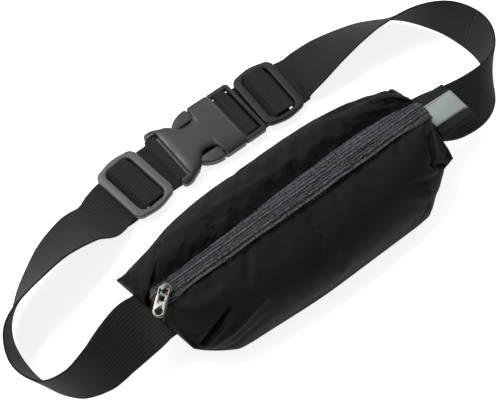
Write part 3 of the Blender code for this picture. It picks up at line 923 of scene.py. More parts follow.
def dress(piece: bpy.types.Object, finish: bpy.types.Material) -> bpy.types.Object:
    """Give a piece its only material and log its number of faces.

    Args:
        piece: The piece.
        finish: Its material.

    Returns:
        The same piece.
    """
    piece.data.materials.clear()
    piece.data.materials.append(finish)
    LOG.info("%s: %d faces", piece.name, len(piece.data.polygons))
    return piece


STITCH_SHAPE = ((0.0, -0.8, 0.5), (0.2, 0.3, 0.95), (0.5, 0.55, 1.0), (0.8, 0.3, 0.95), (1.0, -0.8, 0.5))


def stitches(
    name: str, line: Sequence[Vector], long: float, gap: float, radius: float, up: Vector
) -> bpy.types.Object:
    """A row of stitches along a line, each a short thread whose ends dive into the cloth.

    Args:
        name: The piece's name.
        line: Points that the row follows.
        long: Length of a stitch.
        gap: Space between two stitches.
        radius: The thread's radius.
        up: Out of the cloth.

    Returns:
        One mesh with every stitch.
    """
    spans = [(b - a).length for a, b in zip(line, line[1:])]
    reach = np.concatenate(([0.0], np.cumsum(spans)))
    total = reach[-1]
    points = np.array([tuple(p) for p in line])

    def at(distance: float) -> Vector:
        """The line's point at a distance from its start."""
        return Vector([float(np.interp(distance, reach, points[:, axis])) for axis in range(3)])

    build = bmesh.new()
    start = gap
    while start + long < total:
        first, last = at(start), at(start + long)
        along = (last - first).normalized()
        across = along.cross(up).normalized()
        rows = []
        for share, lift, girth in STITCH_SHAPE:
            middle = first.lerp(last, share) + up * radius * lift
            rows.append([
                build.verts.new(middle + (across * math.cos(a) + up * math.sin(a)) * radius * girth)
                for a in (math.tau * k / 6 for k in range(6))
            ])
        for one, two in zip(rows, rows[1:]):
            for k in range(6):
                build.faces.new((one[k], one[(k + 1) % 6], two[(k + 1) % 6], two[k]))
        build.faces.new(rows[0])
        build.faces.new(rows[-1])
        start += long + gap
    return skin_of(build, name)


# ------ belt


@dataclass
class Strap:
    """One strap: threaded through its adjuster and round its buckle bar, then free to the end seam."""

    side: Side
    finish: bpy.types.Material
    bar_near: float
    bar_far: float
    route: Sequence[tuple[float, float, float, float]]
    yaw: float
    yaw_from: float
    pivot: float
    width: float = 38.0 * MM
    thick: float = 1.5 * MM
    ribs: int = 17
    rib_height: float = 0.14 * MM
    flattened: float = 0.95 * MM
    gap: float = 0.3 * MM
    lower_run: float = 1.6 * MM
    bar_high: float = 8.2 * MM
    run_out: float = 6.08 * MM
    climb: float = 3.9 * MM
    rail: float = 6.2 * MM
    bend: float = 1.1 * MM
    step: float = 1.5 * MM
    sewn_in: float = 8.0 * MM
    buckle_y: float = 59.5 * MM
    seam_x: float = field(init=False)
    seam_z: float = field(init=False)
    seam_y: float = field(init=False)
    adjuster_x: float = field(init=False)
    adjuster_low: float = field(init=False)
    half_adjuster: float = 17.0 * MM

    def __post_init__(self) -> None:
        """Take the places of the end seam and the adjuster from the frame."""
        low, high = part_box("back_panel")
        self.seam_x = high.x
        self.seam_z = high.z - self.thick / 2
        self.seam_y = (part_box("zip_tape_upper")[1].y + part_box("zip_tape_lower")[0].y) / 2
        low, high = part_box(self.adjuster)
        self.adjuster_x = (low.x + high.x) / 2
        self.adjuster_low = low.z

    @property
    def away(self) -> int:
        """+1 where the strap leaves the buckle towards +X."""
        return self.side.value

    @property
    def adjuster(self) -> str:
        """The adjuster's node."""
        return self.side.name.lower() + "_adjuster"

    def run_yaw(self, x: float) -> float:
        """How far the webbing has turned in plan at x, inside the hardware."""
        return self.yaw * smooth_step(self.away * (x - self.yaw_from) / (12.0 * MM))

    def run_y(self, x: float) -> float:
        """The webbing's middle at x, inside the hardware."""
        return self.buckle_y + math.tan(self.run_yaw(x)) * (x - self.pivot)

    def threading(self) -> list[Vector]:
        """The path through the hardware in its own XZ plane, from the sewn end outwards.

        Returns:
            Points with X along the belt and Z up.
        """
        half, away = self.thick / 2, self.away
        upper = self.lower_run + self.thick + self.gap
        inner_side = self.bar_far - away * (self.gap + half)
        outer_side = self.bar_near + away * (self.gap + half)
        over_bar = self.bar_high + self.gap + half
        bar_half, bar_top = 2.5 * MM, self.adjuster_low + 2.8 * MM
        centre_out = self.adjuster_x + away * (bar_half + self.gap + half)
        wrap_top = bar_top + self.gap + half
        crown = wrap_top + self.thick + self.gap
        foot = self.half_adjuster - self.rail - 3 * self.gap
        rail_in, rail_out = self.adjuster_x - away * foot, self.adjuster_x + away * foot
        exit_x = self.adjuster_x + away * (self.half_adjuster + self.run_out)
        corners = [
            (self.adjuster_x - away * 1.5 * MM, wrap_top), (centre_out, wrap_top),
            (centre_out, self.lower_run), (inner_side, self.lower_run), (inner_side, over_bar),
            (outer_side, over_bar), (outer_side + away * self.gap, upper), (rail_in, upper),
            (rail_in + away * self.climb, crown), (rail_out - away * self.climb, crown),
            (rail_out, upper), (exit_x, upper),
        ]
        return round_corners([Vector((x, 0.0, z)) for x, z in corners], self.bend, 5)

    def evenly(self, points: Sequence[Vector], step: float) -> list[Vector]:
        """The same polyline with its long stretches cut into steps.

        Args:
            points: The polyline.
            step: Longest stretch.

        Returns:
            The finer polyline.
        """
        out = [points[0]]
        for start, end in zip(points, points[1:]):
            cuts = max(1, round((end - start).to_3d().length / step))
            out.extend(start.lerp(end, (i + 1) / cuts) for i in range(cuts))
        return out

    def hardware_frames(self) -> list[tuple[Vector, Vector]]:
        """Middles and width directions through the adjuster and round the bar.

        Returns:
            A middle and a width direction for each ring.
        """
        frames = []
        for p in self.evenly(self.threading(), self.step):
            yaw = self.run_yaw(p.x)
            frames.append((Vector((p.x, self.run_y(p.x), p.z)), Vector((math.sin(yaw), -math.cos(yaw), 0.0))))
        return frames

    def free_frames(self, start: Vector) -> list[tuple[Vector, Vector]]:
        """Middles and width directions of the loop, from the adjuster to the end seam.

        Args:
            start: Where the hardware's frames end.

        Returns:
            A middle and a width direction for each ring.
        """
        away = self.away
        stations = [(*start, 0.0)]
        stations += [(away * (self.seam_x + past * MM), y * MM, z * MM, math.radians(lean))
                     for past, y, z, lean in self.route]
        seam = away * (self.seam_x + self.gap)
        stations += [(seam + away * 4.0 * MM, self.seam_y, self.seam_z, math.radians(3.0)),
                     (seam, self.seam_y, self.seam_z, 0.0)]
        line = catmull([Vector(s) for s in stations], 14)
        frames = []
        for i in range(1, len(line)):
            along = (line[min(i + 1, len(line) - 1)] - line[i - 1]).to_3d().normalized()
            side = Vector((-along.y, along.x, 0.0)).normalized() * -away
            raised = (along.cross(side) * -away).normalized()
            lean = line[i].w
            frames.append((line[i].to_3d(), side * math.cos(lean) + raised * math.sin(lean)))
        frames[-1] = (frames[-1][0], Vector((0.0, 1.0, 0.0)))
        tucked = frames[-1][0] - Vector((away * self.sewn_in, 0.0, 0.0))
        return [*frames, (tucked, Vector((0.0, 1.0, 0.0)))]

    def section(self, spread: float) -> list[tuple[float, float]]:
        """The webbing's ribbed cross-section, wider and flatter where it is pressed in the hardware.

        Args:
            spread: 1 in the hardware and 0 in the free loop.

        Returns:
            Places across the webbing and through it.
        """
        half, thick = self.width / 2 + spread * self.flattened, self.thick / 2
        edge = thick * 0.9
        relief = self.rib_height * (1.0 - 0.75 * spread)
        columns = self.ribs * 4
        top = []
        for i in range(columns + 1):
            across = (half - edge) * (1.0 - 2.0 * i / columns)
            rise = relief * (0.5 - 0.5 * math.cos(math.tau * self.ribs * i / columns))
            top.append((across, thick - relief + rise))
        turns = [math.radians(degrees) for degrees in (50, 90, 130)]
        left = [(-half + edge * (1 - math.sin(a)), thick * math.cos(a)) for a in turns]
        right = [(-x, -z) for x, z in left]
        return top + left + [(-x, -z) for x, z in top] + right

    def skin(
        self, name: str, frames: Sequence[tuple[Vector, Vector]], start: float = 0.0
    ) -> bpy.types.Object:
        """Ribbed webbing through the frames.

        Args:
            name: The piece's name.
            frames: Middles and width directions.
            start: Distance along the webbing at the first frame.

        Returns:
            The dressed piece.
        """
        rings, cloth, travelled = [], [], start
        inner = abs(self.adjuster_x) + self.half_adjuster
        for i, (middle, across) in enumerate(frames):
            before, after = frames[max(i - 1, 0)][0], frames[min(i + 1, len(frames) - 1)][0]
            normal = across.cross((after - before).normalized()).normalized()
            if i:
                travelled += (middle - frames[i - 1][0]).length
            away = (abs(middle.x) - inner) if middle.y > self.buckle_y - 12.0 * MM else 1.0
            section = self.section(1.0 - smooth_step(away / (10.0 * MM)))
            rings.append([middle + across * a + normal * n for a, n in section])
            cloth.append([(travelled, a) for a, _ in section])
        return dress(loft(name, rings, cloth), self.finish)

    def build(self) -> list[bpy.types.Object]:
        """Make the strap in pieces that part at the adjuster and, on the right, in mid-loop.

        Returns:
            The strap's pieces.
        """
        word = self.side.name.lower() + "_webbing"
        hardware = self.hardware_frames()
        past = [(middle.x - self.adjuster_x) for middle, _ in hardware]
        crown = max(i for i in range(len(past) - 1) if past[i] * past[i + 1] <= 0.0)
        sewn = self.skin(word + "_round_bar", hardware[:crown + 1])
        loop = hardware[crown:] + self.free_frames(hardware[-1][0])
        inner_edge = self.adjuster_x - self.away * self.half_adjuster
        bar_x = self.bar_near + self.away * 2.0 * MM
        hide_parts(self.side.name.lower() + "_strap")
        turn_y, seam_y = 36.0 * MM, self.seam_y
        if self.side is Side.LEFT:
            free = self.skin(word + "_loop", loop)
            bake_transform(sewn)
            self.at_y(turn_y)
            self.at_y(seam_y)
            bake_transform(free)
            return [sewn, free]
        middle = min(range(len(loop)), key=lambda i: abs(loop[i][0].y - 4.0 * MM) - loop[i][0].x)
        away_part = self.skin(word + "_loop_from_adjuster", loop[:middle + 1])
        home_part = self.skin(word + "_loop_to_pouch", loop[middle:], 1.0)
        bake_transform(sewn)
        self.at_y(turn_y)
        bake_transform(away_part)
        self.at_y(seam_y)
        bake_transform(home_part)
        return [sewn, away_part, home_part]

    @staticmethod
    def at_y(y: float) -> Vector:
        """A point on the Y axis."""
        return Vector((0.0, y, 0.0))


RIGHT_ROUTE = (
    (-24, 56.5, 10, 10), (-5, 57, 14, 22), (14, 56.5, 15.5, 34), (34, 53.5, 17, 46),
    (56.5, 44.5, 18.5, 63), (75, 27, 20.5, 86), (83.5, 9, 21.5, 98), (84.5, -9, 21.5, 98),
    (76, -27, 21, 85), (61.5, -37.5, 20.5, 62), (45, -41, 20, 42), (28, -39.5, 20.5, 27),
    (13, -37, 24.5, 12),
)
LEFT_ROUTE = (
    (-15, 49, 8.5, 7), (3, 46, 20, 22), (27, 40.5, 25.5, 40), (51, 32, 23.5, 58),
    (70, 20.5, 21.5, 78), (80, 6, 20.5, 96), (83, -13, 19.5, 107), (77, -31.5, 20.5, 102),
    (64.5, -41.5, 23.5, 81), (48, -43.5, 26.5, 58), (31, -40, 27.5, 42), (16, -37, 27.5, 24),
)


@dataclass
class Adjuster:
    """A tri-glide: a frame with round-shouldered rails, swollen short sides and a ribbed centre bar."""

    node: str
    body: Body
    yaw: float
    finish: bpy.types.Material
    length: float = 34.0 * MM
    width: float = 47.0 * MM
    bulge: float = 1.6 * MM
    rail: float = 6.2 * MM
    window_half: float = 20.2 * MM
    bar: float = 5.0 * MM
    corner: float = 6.6 * MM
    window_corner: float = 5.2 * MM
    softness: float = 1.2 * MM
    bar_low: float = 0.4 * MM
    bar_high: float = 2.8 * MM
    past: float = 1.0 * MM

    def outline(self, half_x: float, half_y: float, radius: float, bulge: float, steps: int) -> list[Vector]:
        """A rounded rectangle whose short sides swell.

        Args:
            half_x: Half the length.
            half_y: Half the width.
            radius: Corners' radius.
            bulge: How far the short sides swell.
            steps: Pieces in a corner.

        Returns:
            The outline.
        """
        points, cuts = [], 12
        for sx, sy, start in ((1, 1, 0), (-1, 1, 90), (-1, -1, 180), (1, -1, 270)):
            corner = (sx * (half_x - radius), sy * (half_y - radius))
            points.extend(arc(corner, radius, start, start + 90, steps))
            if start in (0, 180):
                for i in range(1, cuts):
                    x = sx * (half_x - radius) * (1 - 2 * i / cuts)
                    points.append(Vector((x, sy * (half_y + bulge * math.sin(math.pi * i / cuts)), 0.0)))
        return points

    def build(self) -> bpy.types.Object:
        """Model the adjuster and set it in place.

        Returns:
            The dressed piece.
        """
        low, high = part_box(self.node)
        centre = (low + high) / 2
        name = self.node + "_frame"
        outer = self.outline(self.length / 2, self.width / 2, self.corner, self.bulge, 7)
        frame = Bench.plate(name, outer, low.z, high.z)
        window = self.outline(self.length / 2 - self.rail, self.window_half, self.window_corner, 0.0, 5)
        Bench.carve(frame, Bench.plate("window", window, low.z - self.past, high.z + self.past))
        Bench.soften(frame, self.softness, 4, 50.0)
        half = self.window_half + self.past
        bar = Bench.block("bar", (-self.bar / 2, -half, low.z + self.bar_low),
                          (self.bar / 2, half, low.z + self.bar_high))
        Bench.soften(bar, 0.5 * MM, 2)
        piece = Bench.merge(name, [frame, bar])
        turned = Matrix.Rotation(self.yaw, 4, "Z")
        piece.data.transform(Matrix.Translation((centre.x, centre.y, 0.0)) @ turned)
        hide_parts(self.node)
        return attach(dress(piece, self.finish), self.body.value)


@dataclass
class FemaleHalf:
    """The buckle's socket: two arms with a webbing bar, a waist with a window on each side, and a mouth."""

    finish: bpy.types.Material
    arm: float = 25.0 * MM
    half: float = 24.0 * MM
    neck: float = 21.4 * MM
    waist: float = 12.0 * MM
    window_left: float = -21.5 * MM
    window_right: float = 1.5 * MM
    bar: float = 4.5 * MM
    slot: float = 3.5 * MM
    slot_half: float = 20.2 * MM
    bar_low: float = 5.0 * MM
    bar_high: float = 8.2 * MM
    cavity_left: float = -20.0 * MM
    cavity_half: float = 21.0 * MM
    cavity_half_z: float = 3.6 * MM
    squareness: float = 4.6

    def widths(self, left: float, mouth: float) -> list[tuple[float, float, float]]:
        """Stations along the body: place, half width and share of the full height.

        Args:
            left: Where the body starts.
            mouth: Where it ends.

        Returns:
            The stations.
        """
        reach = self.window_right - self.window_left
        rows = [(left, self.arm - 2.6 * MM, 0.62), (left + 0.5 * MM, self.arm - 1.2 * MM, 0.74),
                (left + 1.4 * MM, self.arm - 0.3 * MM, 0.84), (left + 3.0 * MM, self.arm, 0.90),
                (left + 5.5 * MM, self.arm, 0.94), (left + 8.0 * MM, self.arm - 0.6 * MM, 0.97),
                (left + 11.0 * MM, self.half - 1.2 * MM, 0.99), (self.window_left, self.neck, 1.0)]
        for i in range(1, 24):
            share = i / 24
            inwards = smooth_step(share / 0.56)
            if share >= 0.56:
                inwards = 1.0 - 0.35 * ((share - 0.56) / 0.44) ** 3
            half = self.neck + (self.waist - self.neck) * inwards
            rows.append((self.window_left + share * reach * 0.97, half, 1.0))
        rim = self.window_right
        rows += [(rim - 0.35 * MM, self.waist + 5.0 * MM, 1.0), (rim - 0.12 * MM, self.half - 3.0 * MM, 1.0),
                 (rim + 0.15 * MM, self.half - 1.2 * MM, 1.0), (rim + 0.7 * MM, self.half - 0.3 * MM, 1.0),
                 (rim + 1.6 * MM, self.half, 1.0)]
        for share in (0.25, 0.45, 0.65, 0.82):
            rows.append((rim + (mouth - rim) * share, self.half, 1.0 - 0.05 * share ** 2))
        rows += [(mouth - 1.2 * MM, self.half - 0.1 * MM, 0.93),
                 (mouth - 0.45 * MM, self.half - 0.5 * MM, 0.90), (mouth, self.half - 1.2 * MM, 0.85)]
        return rows

    def build(self) -> bpy.types.Object:
        """Model the socket where its node is.

        Returns:
            The dressed piece.
        """
        low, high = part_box("buckle_female")
        middle = (low + high) / 2
        half_z = (high.z - low.z) / 2
        rows = self.widths(low.x, high.x)
        power = 2.0 / self.squareness

        def shape(number: int, angle: float) -> Vector:
            """A point of the rounded section.

            Args:
                number: The station.
                angle: Angle round the section.

            Returns:
                The point.
            """
            x, half_y, share = rows[number]
            c, s = math.cos(angle), math.sin(angle)
            y = half_y * math.copysign(abs(c) ** power, c)
            z = half_z * share * math.copysign(abs(s) ** power, s)
            crown = 1.0 - 0.10 * (y / self.half) ** 2
            return Vector((x, middle.y + y, middle.z + z * crown))

        piece = Bench.body("buckle_female_shell", len(rows), 72, shape)
        y, z, far = middle.y, middle.z, 1.0 * MM
        slot_start = low.x + self.bar
        bar_end = slot_start + 0.5 * MM
        front, back = y - self.slot_half, y + self.slot_half
        tools = (
            ((self.cavity_left, y - self.cavity_half, z - self.cavity_half_z),
             (high.x + 5 * MM, y + self.cavity_half, z + self.cavity_half_z)),
            ((slot_start, front, low.z - far), (slot_start + self.slot, back, high.z + far)),
            ((low.x - far, front, self.bar_high), (bar_end, back, high.z + far)),
            ((low.x - far, front, low.z - far), (bar_end, back, self.bar_low)),
        )
        for corner, other in tools:
            Bench.carve(piece, Bench.block("tool", corner, other))
        Bench.soften(piece, 0.35 * MM, 2, 48.0)
        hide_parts("buckle_female")
        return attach(dress(piece, self.finish), Body.POUCH.value)


@dataclass
class MaleHalf:
    """The buckle's plug: a frame with the webbing bar and an open slot, a guide and two sprung prongs."""

    finish: bpy.types.Material
    half: float = 23.8 * MM
    body: float = 1.4 * MM
    slot: float = 3.4 * MM
    bar: float = 6.0 * MM
    outer_slot: float = 4.0 * MM
    rim: float = 3.0 * MM
    slot_half: float = 20.2 * MM
    bar_low: float = 5.0 * MM
    bar_high: float = 8.2 * MM
    guide_half: float = 3.5 * MM
    prong_tip: float = -19.0 * MM
    arm_in: float = 14.5 * MM
    arm_out: float = 19.5 * MM
    ear_out: float = 23.6 * MM
    corner: float = 3.0 * MM

    def build_frame(self) -> bpy.types.Object:
        """Model the frame and its guide.

        Returns:
            The dressed piece.
        """
        low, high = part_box("buckle_male")
        y = (low.y + high.y) / 2
        end = high.x
        start = end - self.body - self.slot - self.bar - self.outer_slot - self.rim
        slot_x = start + self.body
        bar_x = slot_x + self.slot
        outline = [Vector((start, self.half, 0.0)), Vector((start, -self.half, 0.0))]
        outline += arc((end - self.corner, -self.half + self.corner), self.corner, -90, 0, 6)
        outline += arc((end - self.corner, self.half - self.corner), self.corner, 0, 90, 6)
        frame = Bench.plate("buckle_male_frame", outline, low.z, high.z)
        open_end = slot_x + self.slot + self.bar + self.outer_slot
        slots = Bench.block("slots", (slot_x, -self.slot_half, 0.0), (open_end, self.slot_half, 2 * high.z))
        Bench.carve(frame, slots)
        Bench.soften(frame, 0.9 * MM, 3, 50.0)
        bar = Bench.block("bar", (bar_x, -self.slot_half - 1 * MM, self.bar_low),
                          (bar_x + self.bar, self.slot_half + 1 * MM, self.bar_high))
        Bench.soften(bar, 0.9 * MM, 3)
        middle_z = (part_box("buckle_female")[0].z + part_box("buckle_female")[1].z) / 2
        guide = Bench.block("guide", (low.x, -self.guide_half, middle_z - 2 * MM),
                            (start + 0.7 * MM, self.guide_half, middle_z + 2 * MM))
        Bench.soften(guide, 0.7 * MM, 3)
        piece = Bench.merge("buckle_male_frame", [frame, bar, guide])
        piece.data.transform(Matrix.Translation((0.0, y, 0.0)))
        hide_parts("buckle_male")
        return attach(dress(piece, self.finish), Body.MALE.value)

    def build_prong(self, node: str, sign: int, body: Body) -> bpy.types.Object:
        """Model one prong: an arm that ends in a round ear with a square shoulder.

        Args:
            node: The prong's node.
            sign: -1 in front and 1 at the back.
            body: What it rides on.

        Returns:
            The dressed piece.
        """
        low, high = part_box(node)
        centre_y = (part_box("buckle_male")[0].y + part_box("buckle_male")[1].y) / 2
        shoulder, root = 0.9 * MM, high.x
        reach = shoulder - self.prong_tip
        points = [(root, self.arm_in), (root, self.arm_out), (shoulder + 0.8 * MM, self.arm_out),
                  (shoulder, self.arm_out + 0.8 * MM), (shoulder, self.ear_out - 1.0 * MM)]
        for i in range(1, 14):
            share = i / 14
            points.append((shoulder - share * reach, self.ear_out + 0.15 * MM - 9.6 * MM * share ** 2.6))
        points += [(self.prong_tip + 1.0 * MM, self.arm_in - 0.4 * MM),
                   (self.prong_tip + 4.5 * MM, self.arm_in - 1.0 * MM),
                   (shoulder - 4.0 * MM, self.arm_in - 0.8 * MM)]
        outline = [Vector((x, centre_y + sign * y, 0.0)) for x, y in points]
        piece = Bench.plate(node + "_arm", outline if sign < 0 else outline[::-1], low.z, high.z)
        Bench.soften(piece, 1.0 * MM, 4, 50.0)
        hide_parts(node)
        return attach(dress(piece, self.finish), body.value)


# ------ pouch


@dataclass(frozen=True)
class Crease:
    """A fold pressed into the cloth between two points: a valley with a soft ridge along one side."""

    start: Colour
    end: Colour
    depth: float
    width: float
    ridge: float = 0.5

    def push(self, points: np.ndarray, normal: np.ndarray) -> np.ndarray:
        """How far each point moves outwards.

        Args:
            points: Points in metres, last axis x, y, z.
            normal: The surface's normal at each point.

        Returns:
            Signed distances along the surface's normal.
        """
        start, end = np.array(self.start) * MM, np.array(self.end) * MM
        line = end - start
        share = ((points - start) @ line) / (line @ line)
        gap = points - start - np.clip(share, 0.0, 1.0)[..., None] * line
        off = np.sum(gap * normal, axis=-1)
        within = gap - normal * off[..., None]
        distance = np.linalg.norm(within, axis=-1) / (self.width * MM)
        side = np.cross(normal, line / np.linalg.norm(line))
        offset = np.sum(within * side, axis=-1) / (self.width * MM)
        fade = np.clip(1.15 - np.abs(share - 0.5) * 1.6, 0.0, 1.0) ** 0.7 * np.exp(-(off / (11.0 * MM)) ** 2)
        valley = np.exp(-distance ** 2 * 2.2)
        hill = np.exp(-((offset - 1.1) ** 2) * 2.5) * np.exp(-(distance - 1.1) ** 2 * 1.5)
        return fade * self.depth * MM * (self.ridge * hill - valley)


def upper_fold(x: float) -> float:
    """How far the upper panel's fold stands from the zip's middle at x.

    Args:
        x: Place along the zip.

    Returns:
        Distance from the zip's middle.
    """
    wave = 0.5 * MM * noise.noise(Vector((x * 60, 4.0, 0.0)))
    wide = 5.2 * MM * smooth_step((x + 90 * MM) / (140 * MM))
    return 8.2 * MM + wide - 4.0 * MM * smooth_step((x - 70 * MM) / (42 * MM)) + wave


def lower_fold(x: float) -> float:
    """The same for the lower panel's fold, which almost meets the zip.

    Args:
        x: Place along the zip.

    Returns:
        Distance from the zip's middle.
    """
    wave = 0.9 * MM * noise.noise(Vector((x * 42, 1.0, 0.0)))
    return 6.3 * MM + wave + 1.6 * MM * smooth_step((abs(x) - 84 * MM) / (20 * MM))


CLOTH_SETTINGS = {
    "quality": 6, "mass": 0.3, "tension_stiffness": 18.0, "compression_stiffness": 10.0,
    "shear_stiffness": 6.0, "bending_stiffness": 0.35, "air_damping": 4.0,
}


@dataclass
class Pouch:
    """The stuffed pouch: an upper and a lower panel from the zip to the base, and the back panel."""

    finish: bpy.types.Material
    thread: bpy.types.Material
    across: int = 96
    straight_front: float = 80.0 * MM
    straight_back: float = 42.0 * MM
    notch: float = 8.0 * MM
    base_flat: float = 44.0 * MM
    rise_power: float = 1.7
    end_drop: float = 10.0 * MM
    end_slope: float = 34.0 * MM
    bend_in: float = 4.0 * MM
    cloth: float = 0.9 * MM
    cap: float = 6.0 * MM
    pressure: float = 0.9
    slack: float = 0.014
    sim_scale: float = 10.0
    sim_frames: int = 16
    broad_rough: float = 0.8 * MM
    fine_rough: float = 0.2 * MM
    front: Sequence[tuple[float, float]] = (
        (0.0, 0.93), (0.012, 0.982), (0.06, 1.0), (0.18, 0.985), (0.36, 0.94), (0.54, 0.855), (0.70, 0.73),
        (0.83, 0.57), (0.925, 0.40), (0.985, 0.22), (1.0, 0.09), (0.992, 0.0),
    )
    back: Sequence[tuple[float, float]] = (
        (0.0, 0.865), (0.015, 0.935), (0.07, 0.99), (0.14, 1.03), (0.22, 1.052), (0.34, 1.052), (0.48, 1.035),
        (0.64, 0.985), (0.80, 0.895), (0.93, 0.74), (1.01, 0.52), (1.03, 0.25), (0.99, 0.0),
    )

    def __post_init__(self) -> None:
        """Take the pouch's overall sizes from the frame."""
        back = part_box("back_panel")
        self.seam_x, self.seam_z = back[1].x, back[1].z - 0.8 * MM
        self.middle = (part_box("zip_tape_upper")[1].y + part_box("zip_tape_lower")[0].y) / 2
        self.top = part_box("zip_tape_upper")[1].z
        self.half_front = self.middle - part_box("lower_panel")[0].y - 0.8 * MM
        self.half_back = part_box("upper_panel")[1].y - self.middle - 1.0 * MM
        self.seam_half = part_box("left_end_binding")[1].y - self.middle + 8.0 * MM

    def lift(self, x: float) -> float:
        """Height of the base at x, flat in the middle and lifting to the end seams."""
        start = self.seam_x - self.base_flat
        return self.seam_z * (max(abs(x) - start, 0.0) / (self.seam_x - start)) ** self.rise_power

    def half_at(self, x: float, front: bool) -> float:
        """Half the width at x; the front has squarer corners and tapers a little to the left.

        Args:
            x: Place along the pouch.
            front: Whether it is the lower side.

        Returns:
            Distance from the zip's middle.
        """
        if not front:
            share = (abs(x) - self.straight_back) / (self.seam_x - self.straight_back)
            return self.half_back + (self.seam_half - self.half_back) * smooth_step(share)
        half = self.half_front - 5.0 * MM * smooth_step(-x / (90.0 * MM))
        reach = self.seam_x - (self.notch if x > 0.0 else 0.0)
        share = min(max(abs(x) - self.straight_front, 0.0) / (reach - self.straight_front), 1.0)
        return half + (self.seam_half - half) * share

    def fall(self, x: float, start: float) -> float:
        """1 up to start, then a rounded fall to 0 at the end seam.

        Args:
            x: Place along the pouch.
            start: Where the fall begins.

        Returns:
            Share of the height.
        """
        if abs(x) <= start:
            return 1.0
        t = min((abs(x) - start) / (self.seam_x - start), 1.0)
        return (1.0 - t ** 2.2) ** (1 / 2.2)

    def stations(self) -> list[float]:
        """Places along X, closer together at the ends.

        Returns:
            The places, from the left seam to the right.
        """
        quarter, crowd, last = math.pi / 2, 0.86, self.across - 1
        places = [math.sin(quarter * (2 * i / last - 1) * crowd) for i in range(self.across)]
        return [self.seam_x * place / math.sin(quarter * crowd) for place in places]

    def ring(self, x: float) -> list[Vector]:
        """The section at x, from the upper fold beside the zip round the base to the lower fold.

        Args:
            x: Place along the pouch.

        Returns:
            The section's points.
        """
        points = []
        seam_top = self.seam_z + 1.2 * MM
        for sign, shape, fold in ((1, self.back, upper_fold(x)), (-1, self.front, lower_fold(x))):
            outer = self.half_at(x, sign < 0)
            low = self.lift(x) + 0.2 * MM
            side = []
            for p in catmull([Vector((out, up)) for out, up in shape], 3):
                drop = (1.0 - min(p.y, 1.0)) * self.end_drop
                start = self.seam_x - self.bend_in - drop - p.x * self.end_slope
                top = seam_top + (self.top - seam_top) * self.fall(x, start)
                y = self.middle + sign * (fold + (outer - fold) * p.x)
                side.append(Vector((x, y, low + (top - low) * p.y)))
            points.append(side if sign > 0 else side[::-1])
        upper, lower = points
        base = []
        for i in range(1, 14):
            share = i / 14
            y = upper[-1].y + (lower[0].y - upper[-1].y) * share
            base.append(Vector((x, y, self.lift(x) + 0.15 * MM)))
        self.split = (len(upper) - 1, len(upper) + len(base))
        return upper + base + lower

    def settle(self, grid: np.ndarray) -> np.ndarray:
        """Let the slack panels fill out and pucker between their seams.

        Args:
            grid: Points, along by around.

        Returns:
            The settled points.
        """
        rows, size = grid.shape[:2]
        scale, frames = self.sim_scale, self.sim_frames
        mesh = bpy.data.meshes.new("fill")
        faces = [(i * size + j, (i + 1) * size + j, (i + 1) * size + j + 1, i * size + j + 1)
                 for i in range(rows - 1) for j in range(size - 1)]
        mesh.from_pydata([tuple(p) for p in (grid * scale).reshape(-1, 3)], [], faces)
        cloth_object = link(mesh, "fill")
        held = cloth_object.vertex_groups.new(name="held")
        first, last = self.split
        for i in range(rows):
            for j in range(size):
                end = min(i, rows - 1 - i)
                seam = min(j, size - 1 - j)
                on_base = first <= j <= last
                weight = 1.0 if end == 0 or seam == 0 else (0.9 if on_base else 0.0)
                if weight:
                    held.add([i * size + j], weight, "REPLACE")
        change = cloth_object.modifiers.new("fill", "CLOTH")
        settings = change.settings
        for key, value in CLOTH_SETTINGS.items():
            setattr(settings, key, value)
        settings.use_pressure = True
        settings.uniform_pressure_force = self.pressure
        settings.shrink_min = -self.slack
        settings.vertex_group_mass = "held"
        settings.effector_weights.gravity = 0.0
        change.collision_settings.use_collision = False
        scene = bpy.context.scene
        scene.frame_start, scene.frame_end = 1, frames
        change.point_cache.frame_start, change.point_cache.frame_end = 1, frames
        for frame in range(1, frames + 1):
            scene.frame_set(frame)
        settled = cloth_object.evaluated_get(bpy.context.evaluated_depsgraph_get()).to_mesh()
        points = np.empty(len(settled.vertices) * 3, np.float32)
        settled.vertices.foreach_get("co", points)
        moved = points.reshape(rows, size, 3).astype(float) / scale - grid
        bpy.data.objects.remove(cloth_object, do_unlink=True)
        scene.frame_set(1)
        reach = np.linalg.norm(moved, axis=-1, keepdims=True)
        outwards = np.sum(moved * self.normals(grid), axis=-1).mean()
        LOG.info("pouch settled by up to %.1f mm, %.1f mm outwards", reach.max() / MM, outwards / MM)
        moved *= np.minimum(1.0, self.cap / np.maximum(reach, 1e-9))
        column = np.arange(size)
        from_base = np.maximum(first - column, column - last)
        from_zip = np.minimum(column, size - 1 - column)
        free = np.minimum(from_base, from_zip * 2.5)
        return grid + moved * smooth_array(free / 9.0)[None, :, None]

    @staticmethod
    def finer(grid: np.ndarray, axis: int) -> np.ndarray:
        """A grid with a smooth new point between neighbours along one axis.

        Args:
            grid: Points.
            axis: 0 along the pouch or 1 around it.

        Returns:
            The finer grid.
        """
        grid = np.moveaxis(grid, axis, 0)
        padded = np.concatenate((2 * grid[:1] - grid[1:2], grid, 2 * grid[-1:] - grid[-2:-1]))
        between = (9 * (padded[1:-2] + padded[2:-1]) - padded[:-3] - padded[3:]) / 16
        out = np.empty((2 * len(grid) - 1, *grid.shape[1:]))
        out[::2], out[1::2] = grid, between
        return np.moveaxis(out, 0, axis)

    @staticmethod
    def normals(grid: np.ndarray) -> np.ndarray:
        """Unit normals that point out of the pouch.

        Args:
            grid: Points, along by around.

        Returns:
            A normal for each point.
        """
        along, around = np.gradient(grid, axis=0), np.gradient(grid, axis=1)
        normal = np.cross(along, around)
        normal /= np.maximum(np.linalg.norm(normal, axis=-1, keepdims=True), 1e-9)
        return normal

